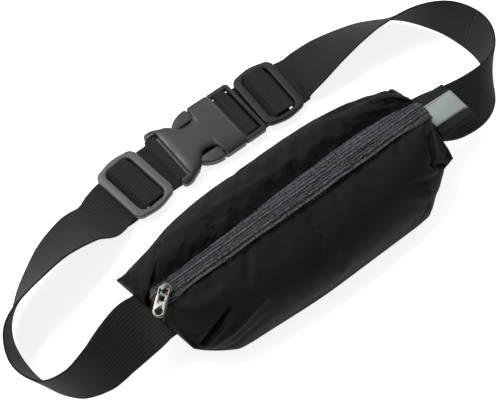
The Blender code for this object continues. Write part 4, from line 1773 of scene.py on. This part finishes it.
    def creases(self) -> Sequence[Crease]:
        """The folds that the stuffed pouch has taken."""
        return (
            Crease((-77, -67, 42), (-103, -69, 27), 6.0, 2.7, 0.35),
            Crease((-98, -74, 22), (-54, -73, 37), -2.2, 4.0, 0.0),
            Crease((-92, -79, 12), (-58, -79, 24), 1.5, 4.5, 0.3),
            Crease((-70, -52, 48), (-96, -50, 44), 1.2, 5.0, 0.5),
            Crease((98, -50, 46), (90, -68, 37), 3.0, 2.2, 0.5),
            Crease((89, -66, 39), (106, -68, 22), 5.0, 2.8, 0.3),
            Crease((72, -69, 37), (93, -74, 30), 1.8, 3.5, 0.6),
            Crease((60, -75, 28), (88, -80, 16), 1.0, 5.5, 0.6),
            Crease((78, 6, 30), (102, -14, 42), 3.4, 2.8, 0.5),
            Crease((56, -2, 48), (88, -10, 46), 1.6, 4.0, 0.6),
            Crease((92, -20, 46), (108, -12, 34), 2.0, 3.4, 0.5),
            Crease((-104, -20, 40), (-84, -6, 40), 1.4, 4.5, 0.5),
            Crease((-74, -2, 40), (-100, -8, 34), 1.5, 4.0, 0.5),
            Crease((-98, -7, 45), (48, -15, 52), -1.0, 4.2, 0.0),
        )

    def wrinkle(self, grid: np.ndarray) -> np.ndarray:
        """Press in the folds and a little unevenness, keeping the base flat on its surface.

        Args:
            grid: Points, along by around.

        Returns:
            The moved points.
        """
        normal = self.normals(grid)
        push = sum(crease.push(grid, normal) for crease in self.creases())
        rough = np.empty(grid.shape[:2])
        for i in range(grid.shape[0]):
            for j in range(grid.shape[1]):
                p = Vector(grid[i, j])
                broad = noise.noise(Vector((p.x * 26, p.y * 60, p.z * 60)))
                small = noise.noise(Vector((p.x * 110, p.y * 110, p.z * 110 + 7.0)))
                rough[i, j] = self.broad_rough * broad + self.fine_rough * small
        base = smooth_array((3.0 * MM - grid[..., 2] + self.lift_array(grid[..., 0])) / (3.0 * MM))
        ends = np.minimum(1.0, (self.seam_x - np.abs(grid[..., 0])) / (5.0 * MM))
        seam = np.minimum(1.0, np.minimum(np.arange(grid.shape[1]), np.arange(grid.shape[1])[::-1]) / 9.0)
        hold = (1.0 - base) * np.clip(ends, 0.0, 1.0) * np.clip(seam, 0.0, 1.0)
        out = grid + normal * ((push + rough) * hold)[..., None]
        out[..., 2] = np.maximum(out[..., 2], 0.15 * MM)
        skew = np.sign(out[..., 0]) * (np.abs(out[..., 0]) / self.seam_x) ** 6
        lean = np.where(out[..., 0] < 0.0, 0.15, 0.05)
        out[..., 0] += skew * lean * (out[..., 1] - self.middle)
        return out

    def lift_array(self, x: np.ndarray) -> np.ndarray:
        """The base's height for an array of places."""
        return np.vectorize(self.lift)(x)

    def panel(self, name: str, grid: np.ndarray, node: str) -> bpy.types.Object:
        """A cloth panel with thickness from part of the settled grid.

        Args:
            name: The panel's name.
            grid: Its part of the points.
            node: The node it stands for.

        Returns:
            The dressed piece.
        """
        spans = np.linalg.norm(np.diff(grid[:, grid.shape[1] // 2], axis=0), axis=-1)
        along = np.concatenate(([0.0], np.cumsum(spans)))
        around = np.cumsum(np.linalg.norm(np.diff(grid, axis=1), axis=-1), axis=1)
        around = np.concatenate((np.zeros((grid.shape[0], 1)), around), axis=1)
        rings = [[Vector(p) for p in row] for row in grid]
        cloth = [[(along[i], around[i, j]) for j in range(grid.shape[1])] for i in range(grid.shape[0])]
        piece = loft(name, rings, cloth, closed=False, caps=False)
        build = bmesh.new()
        build.from_mesh(piece.data)
        build.normal_update()
        middle = Vector((0.0, self.middle, self.top / 2))
        outwards = sum(f.normal.dot(f.calc_center_median() - middle) for f in build.faces)
        if outwards < 0.0:
            bmesh.ops.reverse_faces(build, faces=build.faces)
        build.to_mesh(piece.data)
        build.free()
        wall = piece.modifiers.new("cloth", "SOLIDIFY")
        wall.thickness, wall.offset = self.cloth, -1.0
        Bench.apply_all(piece)
        piece.data.shade_smooth()
        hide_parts(node)
        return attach(dress(piece, self.finish), Body.POUCH.value)

    def topstitch(self, name: str, grid: np.ndarray, column: int) -> bpy.types.Object:
        """The row of stitches beside the zip.

        Args:
            name: The row's name.
            grid: The pouch's points.
            column: Which line of points it follows.

        Returns:
            The dressed piece.
        """
        line = [Vector(p) + Vector((0.0, 0.0, 0.1 * MM)) for p in grid[6:-6, column]]
        piece = stitches(name, line, 2.3 * MM, 0.7 * MM, 0.16 * MM, Vector((0.0, 0.0, 1.0)))
        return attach(dress(piece, self.thread), Body.POUCH.value)

    def build(self) -> list[bpy.types.Object]:
        """Make the three panels and the stitching beside the zip.

        Returns:
            The pouch's pieces.
        """
        grid = np.array([[tuple(p) for p in self.ring(x)] for x in self.stations()])
        grid = self.settle(grid)
        first, last = self.split
        grid = self.wrinkle(self.finer(self.finer(grid, 0), 1))
        first, last = 2 * first, 2 * last
        return [
            self.panel("upper_panel_cloth", grid[:, :first + 1], "upper_panel"),
            self.panel("back_panel_cloth", grid[:, first:last + 1], "back_panel"),
            self.panel("lower_panel_cloth", grid[:, last:], "lower_panel"),
            self.topstitch("upper_topstitch", grid, 3),
            self.topstitch("lower_topstitch", grid, grid.shape[1] - 4),
        ]


def smooth_array(t: np.ndarray) -> np.ndarray:
    """An even rise from 0 to 1 for an array.

    Args:
        t: Values.

    Returns:
        Values between 0 and 1.
    """
    t = np.clip(t, 0.0, 1.0)
    return t * t * (3.0 - 2.0 * t)


# ------ zip


@dataclass
class Zip:
    """Two film tapes over hidden coils, with the slider and its pull."""

    film: bpy.types.Material
    coil: bpy.types.Material
    metal: bpy.types.Material
    tuck: float = 2.2 * MM
    slit: float = 0.2 * MM
    tape: float = 0.7 * MM
    pucker: float = 2.5 * MM
    lip: float = 1.0 * MM
    scallop: float = 0.3 * MM
    tooth: float = 1.25 * MM
    wire: float = 0.28 * MM
    bend: float = 3.0 * MM
    step: float = 0.42 * MM
    columns: int = 34

    def __post_init__(self) -> None:
        """Take the tapes' place from the frame."""
        self.middle = (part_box("zip_tape_upper")[1].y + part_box("zip_tape_lower")[0].y) / 2
        low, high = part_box("zip_tape_upper")
        self.end_x, self.low_z, self.top = high.x - 0.4 * MM, low.z, high.z - 0.4 * MM

    def height(self, travelled: float, off: float, sign: int, edge: float) -> float:
        """How far the film stands above its flat place, off from the zip's middle.

        Args:
            travelled: Distance along the tape.
            off: Distance from the zip's middle.
            sign: 1 for the upper tape and -1 for the lower.
            edge: Where the cloth covers it.

        Returns:
            The height.
        """
        knit = 0.35 * MM * math.exp(-((off - 2.2 * MM) / (1.2 * MM)) ** 2)
        teeth = 0.06 * MM * math.sin(math.tau * travelled / self.tooth)
        teeth *= math.exp(-((off - 2.0 * MM) / (1.2 * MM)) ** 2)
        slope = -3.4 * MM if sign > 0 else -1.3 * MM
        sink = slope * smooth_step((off - 3.0 * MM) / max(edge - 3.0 * MM, 1.0 * MM))
        drop = -2.4 * MM if sign > 0 else -3.4 * MM
        tuck = drop * smooth_step((off - edge + 0.5 * MM) / (1.6 * MM if sign > 0 else 1.0 * MM))
        small = noise.noise(Vector((travelled * 300, off * 420, 3.0)))
        broad = noise.noise(Vector((travelled * 60, off * 160, 9.0)))
        loose = smooth_step((off - 2.0 * MM) / (3.0 * MM))
        lines = 0.0
        if sign < 0:
            swell = math.exp(-((off - edge + 0.9 * MM) / (0.8 * MM)) ** 2)
            lines = swell * (0.75 + 0.22 * math.sin(math.tau * travelled / self.pucker)) * MM
        crumple = (0.16 * small + (0.45 if sign > 0 else 0.2) * broad) * loose * MM
        return knit + teeth + sink + tuck + lines + crumple

    def build_tape(self, name: str, sign: int, node: str) -> bpy.types.Object:
        """One tape from its coil to its sewn edge, bent down at both ends.

        Args:
            name: The tape's name.
            sign: 1 for the upper tape and -1 for the lower.
            node: The node it stands for.

        Returns:
            The dressed piece.
        """
        corners = [Vector((-self.end_x, 0, self.low_z)), Vector((-self.end_x, 0, self.top)),
                   Vector((self.end_x, 0, self.top)), Vector((self.end_x, 0, self.low_z))]
        bent, line = round_corners(corners, self.bend, 8), []
        for start, end in zip(bent, bent[1:]):
            cuts = max(1, round((end - start).length / self.step))
            line.extend(start.lerp(end, i / cuts) for i in range(cuts))
        line.append(corners[-1])
        rings, cloth, travelled = [], [], 0.0
        for i, p in enumerate(line):
            before, after = line[max(i - 1, 0)], line[min(i + 1, len(line) - 1)]
            along = (after - before).normalized()
            up = Vector((-along.z, 0.0, along.x))
            travelled += (p - before).length if i else 0.0
            edge = upper_fold(p.x) if sign > 0 else lower_fold(p.x) + self.lip
            if sign < 0:
                edge += self.scallop * math.sin(math.tau * travelled / self.pucker)
            wide = edge + self.tuck - self.slit
            offs = [self.slit + wide * k / self.columns for k in range(self.columns + 1)]
            top = [p + Vector((0.0, self.middle + sign * off, 0.0))
                   + up * self.height(travelled, off, sign, edge) for off in offs]
            under = [q - up * self.tape for q in reversed(top)]
            rings.append(top + under)
            cloth.append([(travelled, off) for off in offs] + [(travelled, off) for off in reversed(offs)])
        piece = loft(name, rings, cloth)
        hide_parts(node)
        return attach(dress(piece, self.film), Body.POUCH.value)

    def build_coil(self, name: str, sign: int, node: str) -> bpy.types.Object:
        """A coil of bent monofilament teeth under the tape.

        Args:
            name: The coil's name.
            sign: 1 for the upper coil and -1 for the lower.
            node: The node it stands for.

        Returns:
            The dressed piece.
        """
        low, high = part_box(node)
        radius, build = self.wire, bmesh.new()
        inner, outer = (low.y, high.y) if sign > 0 else (high.y, low.y)
        shoulder = inner + sign * 0.5 * MM
        loop = [(inner, (low.z + high.z) / 2), (shoulder, high.z - radius), (outer, high.z - radius),
                (outer, low.z + radius), (shoulder, low.z + radius)]
        turns, side = [math.tau * m / 5 for m in range(5)], Vector((1.0, 0.0, 0.0))
        x = low.x + radius
        while x < high.x - radius:
            rows = []
            for k, (y, z) in enumerate(loop):
                (y0, z0), (y1, z1) = loop[k - 1], loop[(k + 1) % len(loop)]
                out = Vector((0.0, y - (y0 + y1) / 2, z - (z0 + z1) / 2)).normalized()
                centre = Vector((x + 0.12 * MM * (k - 2), y, z)) - out * radius * 0.4
                rows.append([build.verts.new(centre + (side * math.cos(a) + out * math.sin(a)) * radius)
                             for a in turns])
            for k, row in enumerate(rows):
                following = rows[(k + 1) % len(rows)]
                for m in range(5):
                    build.faces.new((row[m], row[(m + 1) % 5], following[(m + 1) % 5], following[m]))
            x += self.tooth
        piece = skin_of(build, name)
        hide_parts(node)
        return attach(dress(piece, self.coil), Body.POUCH.value)

    def build_slider(self) -> bpy.types.Object:
        """The slider: a shield-shaped top wing, a crown over it, a post and a bottom wing.

        Returns:
            The dressed piece.
        """
        low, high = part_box("zip_slider")
        centre = (low + high) / 2
        half_l, half_w = (high.x - low.x) / 2, (high.y - low.y) / 2
        plate = 1.6 * MM
        outline, points = [], 40
        for i in range(points):
            a = math.tau * i / points
            x = math.copysign(abs(math.cos(a)) ** 0.75, math.cos(a))
            y = math.copysign(abs(math.sin(a)) ** 0.62, math.sin(a))
            waist = 1.0 - 0.22 * smooth_step((0.2 - x) / 1.2) - 0.10 * math.exp(-((x - 0.1) / 0.35) ** 2)
            outline.append(Vector((half_l * x, half_w * y * waist, 0.0)))
        wing_top = high.z - 3.0 * MM
        top = Bench.plate("zip_slider_body", outline, wing_top - plate, wing_top)
        Bench.soften(top, 0.55 * MM, 4, 50.0)
        bottom = Bench.plate("wing", outline, low.z, low.z + plate)
        Bench.soften(bottom, 0.5 * MM, 3, 50.0)
        post = Bench.block("post", (-half_l + 1.7 * MM, -0.4 * MM, low.z + plate / 2),
                           (half_l / 3, 0.4 * MM, wing_top - plate / 2))
        long, eye, wall = 2.6 * MM, 1.7 * MM, 0.9 * MM
        crown = Bench.block("crown", (-long, -0.8 * MM, wing_top - 0.3 * MM), (long, 0.8 * MM, high.z))
        Bench.soften(crown, 0.5 * MM, 3)
        hole = Bench.block("eye", (-eye, -2 * MM, wing_top + 0.4 * MM), (eye, 2 * MM, high.z - wall))
        Bench.carve(crown, hole)
        Bench.soften(crown, 0.18 * MM, 2, 50.0)
        piece = Bench.merge("zip_slider_body", [top, bottom, post, crown])
        piece.data.transform(Matrix.Translation((centre.x, centre.y, 0.0)))
        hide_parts("zip_slider")
        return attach(dress(piece, self.metal), Body.SLIDER.value)

    def build_pull(self, joint: dict) -> bpy.types.Object:
        """The pull: a stamped tab with an eye, a small window and a round hole at its tip.

        Args:
            joint: The frame's joint that the pull turns on.

        Returns:
            The dressed piece.
        """
        axis = Vector(joint["axis"])
        pivot = Vector(joint["pos_m"])
        long, half, neck = 19.0 * MM, 4.0 * MM, 3.7 * MM
        bar, eye_long, thick = 0.5 * MM, 3.4 * MM, 1.0 * MM
        side, eye_end = neck - 2 * bar, bar + eye_long
        wide = eye_end + 2 * MM
        outline = [Vector((-bar, -neck, 0)), Vector((eye_end, -neck, 0)), Vector((wide, -half, 0))]
        outline += arc((long - half, 0), half, -90, 90, 20)
        outline += [Vector((wide, half, 0)), Vector((eye_end, neck, 0)), Vector((-bar, neck, 0))]
        piece = Bench.plate("zip_pull_tab", outline, -thick / 2, thick / 2)
        near, far, half_window = eye_end + 1.4 * MM, eye_end + 4.4 * MM, 1.5 * MM
        Bench.carve(piece, Bench.block("eye", (bar, -side, -thick), (eye_end, side, thick)))
        Bench.carve(piece, Bench.block("window", (near, -half_window, -thick), (far, half_window, thick)))
        Bench.carve(piece, Bench.plate("hole", arc((long - half, 0), 2.3 * MM, 0, 352, 32), -thick, thick))
        Bench.soften(piece, 0.28 * MM, 3, 50.0)
        heading = math.atan2(axis.x, -axis.y) + math.pi
        droop = Matrix.Rotation(math.radians(4.0), 4, "Y")
        piece.data.transform(Matrix.Translation(pivot) @ Matrix.Rotation(heading, 4, "Z") @ droop)
        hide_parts("zip_pull")
        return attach(dress(piece, self.metal), Body.PULL.value)


# ------ tab


@dataclass
class ReflectiveTab:
    """A folded ribbon loop at the end seam with a silver film stripe over its top and its fold."""

    ribbon: bpy.types.Material
    film: bpy.types.Material
    thread: bpy.types.Material
    shorter: float = 2.8 * MM
    droop: float = 3.0 * MM
    ribbon_thick: float = 0.9 * MM
    stripe_thick: float = 0.5 * MM
    stripe_start: float = 25.0 * MM

    def sag(self, x: float, start: float) -> Vector:
        """How far the tab hangs at x."""
        share = max((x - start) / (30.0 * MM), 0.0)
        return Vector((0.0, 0.0, -self.droop * share ** 1.6))

    def strip(
        self, name: str, node: str, thick: float, finish: bpy.types.Material
    ) -> bpy.types.Object:
        """A rounded strip that follows the fold.

        Args:
            name: The strip's name.
            node: The node it stands for.
            thick: Its thickness.
            finish: Its material.

        Returns:
            The dressed piece.
        """
        low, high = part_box(node)
        middle_z, half = (low.z + high.z) / 2, (high.z - low.z) / 2 - thick / 2
        fold = high.x - half - thick / 2 - self.shorter
        start_low = low.x if node == "reflective_tab" else low.x + self.stripe_start
        under, over = 24, 30
        path = [Vector((start_low + (fold - start_low) * i / under, 0.0, middle_z - half))
                for i in range(under)]
        path += [Vector((p.x, 0.0, p.y)) for p in arc((fold, middle_z), half, -90, 90, 14)]
        path += [Vector((fold + (low.x - fold) * i / over, 0.0, middle_z + half))
                 for i in range(1, over + 1)]
        wide, centre_y = (high.y - low.y) / 2, (low.y + high.y) / 2
        rings, cloth, travelled = [], [], 0.0
        for i, p in enumerate(path):
            before, after = path[max(i - 1, 0)], path[min(i + 1, len(path) - 1)]
            along = (after - before).normalized()
            up = Vector((along.z, 0.0, -along.x))
            travelled += (p - before).length if i else 0.0
            ring, marks = [], []
            for side, order in ((1, 1), (-1, -1)):
                for k in range(13):
                    share = (k / 6 - 1) * order
                    sag = 0.35 * MM * math.sin(share * 2.2 + travelled * 70) * min(1.0, travelled / (12 * MM))
                    across = Vector((0.0, centre_y + wide * share, 0.0)) + self.sag(p.x, low.x)
                    ring.append(p + across + up * (side * thick / 2 + sag * 0.6))
                    marks.append((travelled, wide * share))
            rings.append(ring)
            cloth.append(marks)
        piece = loft(name, rings, cloth)
        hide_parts(node)
        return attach(dress(piece, finish), Body.POUCH.value)

    def build(self) -> list[bpy.types.Object]:
        """Make the ribbon, its stripe and the stitches that hold them.

        Returns:
            The tab's pieces.
        """
        ribbon = self.strip("reflective_tab_ribbon", "reflective_tab", self.ribbon_thick, self.ribbon)
        stripe = self.strip("reflective_tab_stripe", "reflective_stripe", self.stripe_thick, self.film)
        low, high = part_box("reflective_stripe")
        rows, cuts, inset, up = [], 20, 1.1 * MM, Vector((0.0, 0.0, 1.0))
        xs = [low.x + (high.x - self.shorter - 3 * MM - low.x) * i / cuts for i in range(cuts + 1)]
        for k, y in enumerate((low.y + inset, high.y - inset)):
            line = [Vector((x, y, high.z + 0.05 * MM)) + self.sag(x, low.x) for x in xs]
            rows.append(stitches(f"stripe_stitch_{k}", line, 2.2 * MM, 0.8 * MM, 0.15 * MM, up))
        sewn = Bench.merge("stripe_stitches", rows)
        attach(dress(sewn, self.thread), Body.POUCH.value)
        return [ribbon, stripe, sewn]


# ------ studio


@dataclass(frozen=True)
class Lamp:
    """A soft square light that faces the pack."""

    name: str
    azimuth: float
    height: float
    away: float
    size: float
    power: float
    tint: Colour

    def build(self) -> None:
        """Hang the light."""
        turn = math.radians(self.azimuth)
        place = Vector((math.sin(turn) * self.away, -math.cos(turn) * self.away, self.height))
        light = bpy.data.lights.new(self.name, "AREA")
        light.shape, light.size, light.energy, light.color = "SQUARE", self.size, self.power, self.tint
        made = bpy.data.objects.new(self.name, light)
        made.location = place
        made.rotation_euler = (-place).to_track_quat("-Z", "Y").to_euler()
        bpy.context.scene.collection.objects.link(made)


@dataclass
class Studio:
    """A pale floor, soft lights and the camera."""

    target: Colour = (-0.016, -0.0105, 0.030)
    distance: float = 0.800
    heading: float = 38.7
    elevation: float = 61.0
    lens: float = 88.6
    sensor: float = 36.0
    daylight: float = 0.15
    lamps: Sequence[Lamp] = (
        Lamp("key", 200.0, 1.2, 0.85, 0.8, 16.5, (1.0, 1.0, 0.99)),
        Lamp("fill", -125.0, 0.9, 1.1, 0.8, 3.0, (1.0, 0.98, 0.96)),
        Lamp("cool", 130.0, 0.8, 1.2, 0.7, 4.5, (0.86, 0.91, 1.0)),
    )

    def build_floor(self) -> None:
        """Lay the floor and give it its pale finish."""
        bpy.ops.object.select_all(action="DESELECT")
        bpy.ops.mesh.primitive_plane_add(size=6.0)
        floor = bpy.context.active_object
        floor.name = "studio_floor"
        floor.data.materials.append(PaleFloor("studio_floor", (0.86, 0.86, 0.86)).make())

    def build_camera(self) -> None:
        """Place the camera."""
        turn, tilt = math.radians(self.heading), math.radians(self.elevation)
        flat = math.cos(tilt)
        forward = Vector((flat * math.sin(turn), flat * math.cos(turn), -math.sin(tilt)))
        camera = bpy.data.cameras.new("camera")
        camera.lens, camera.sensor_width, camera.clip_start = self.lens, self.sensor, 0.01
        made = bpy.data.objects.new("camera", camera)
        made.location = Vector(self.target) - forward * self.distance
        made.rotation_euler = forward.to_track_quat("-Z", "Y").to_euler()
        bpy.context.scene.collection.objects.link(made)
        bpy.context.scene.camera = made

    def build(self) -> None:
        """Set up the whole studio."""
        self.build_floor()
        self.build_camera()
        world = bpy.data.worlds.new("studio")
        world.use_nodes = True
        sky = world.node_tree.nodes["Background"]
        sky.inputs[0].default_value = (1.0, 1.0, 1.0, 1.0)
        sky.inputs[1].default_value = self.daylight
        bpy.context.scene.world = world
        bpy.context.scene.view_settings.view_transform = "Standard"
        for lamp in self.lamps:
            lamp.build()


# ------ all together


def main() -> None:
    logging.basicConfig(level=logging.INFO, format="%(name)s: %(message)s")
    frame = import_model()
    Studio().build()

    # The second colour of each webbing is the painted shade of its rib and pick valleys.
    webbing = Webbing("webbing", (0.036, 0.036, 0.034), (0.007, 0.007, 0.007)).make()
    ribbon = Webbing("tab_ribbon", (0.030, 0.030, 0.028), (0.008, 0.008, 0.008), 0.9 * MM, 0.8 * MM).make()
    buckle = MouldedPlastic("buckle_plastic", (0.034, 0.037, 0.0365), (0.10, 0.105, 0.105)).make()
    dark_buckle = MouldedPlastic("plug_plastic", (0.011, 0.012, 0.0125), (0.05, 0.053, 0.054), 0.48).make()
    left_plastic = MouldedPlastic("left_adjuster_plastic", (0.092, 0.088, 0.083), (0.17, 0.165, 0.16)).make()
    right_plastic = MouldedPlastic("right_adjuster_plastic", (0.004, 0.0045, 0.006), (0.024, 0.025, 0.03),
                                   0.54).make()
    cloth = StretchCloth("pouch_cloth", (0.0075, 0.007, 0.0078), (0.014, 0.0138, 0.0165)).make()
    # The film's second colour is the pale of its painted glints.
    film = GlossFilm("zip_film", (0.001, 0.0011, 0.0013), (0.085, 0.092, 0.106)).make()
    coil = MouldedPlastic("coil_nylon", (0.012, 0.012, 0.013), (0.03, 0.03, 0.03), 0.3).make()
    metal = PlatedMetal("zip_metal", (0.30, 0.285, 0.26), (0.14, 0.13, 0.115)).make()
    silver = BeadFilm("reflective_film", (0.42, 0.46, 0.445), (0.30, 0.33, 0.32)).make()
    thread = Thread("black_thread", (0.012, 0.012, 0.013)).make()
    grey_thread = Thread("grey_thread", (0.10, 0.105, 0.10)).make()

    left_yaw, right_yaw = math.radians(6.5), math.radians(-3.0)
    female_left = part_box("buckle_female")[0].x
    male_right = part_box("buckle_male")[1].x
    bar_x = male_right - 13.0 * MM
    Strap(Side.LEFT, webbing, bar_near=female_left, bar_far=female_left + FemaleHalf.bar, route=LEFT_ROUTE,
          yaw=left_yaw, yaw_from=female_left, pivot=female_left - 8.0 * MM).build()
    Strap(Side.RIGHT, webbing, bar_near=bar_x + MaleHalf.bar, bar_far=bar_x, route=RIGHT_ROUTE,
          yaw=right_yaw, yaw_from=male_right, pivot=male_right + 3.0 * MM).build()
    Adjuster("left_adjuster", Body.LEFT_ADJUSTER, left_yaw, left_plastic).build()
    Adjuster("right_adjuster", Body.RIGHT_ADJUSTER, right_yaw, right_plastic).build()
    FemaleHalf(buckle).build()
    MaleHalf(dark_buckle).build_frame()
    prongs = MaleHalf(buckle)
    prongs.build_prong("buckle_prong_front", -1, Body.PRONG_FRONT)
    prongs.build_prong("buckle_prong_back", 1, Body.PRONG_BACK)

    Pouch(cloth, thread).build()
    fastener = Zip(film, coil, metal)
    fastener.build_tape("zip_film_upper", 1, "zip_tape_upper")
    fastener.build_tape("zip_film_lower", -1, "zip_tape_lower")
    fastener.build_coil("zip_teeth_upper", 1, "zip_coil_upper")
    fastener.build_coil("zip_teeth_lower", -1, "zip_coil_lower")
    fastener.build_slider()
    swing = next(joint for joint in frame["joints"] if joint["name"] == "pull_swing")
    fastener.build_pull(swing)
    ReflectiveTab(ribbon, silver, grey_thread).build()

    for node, finish in (("zip_closed_end_stop", metal), ("zip_open_end_stop", metal),
                         ("left_end_binding", ribbon), ("right_end_binding", ribbon)):
        kept = frame["nodes"][node]
        kept.data.materials.clear()
        kept.data.materials.append(finish)


if __name__ == "__main__":
    main()
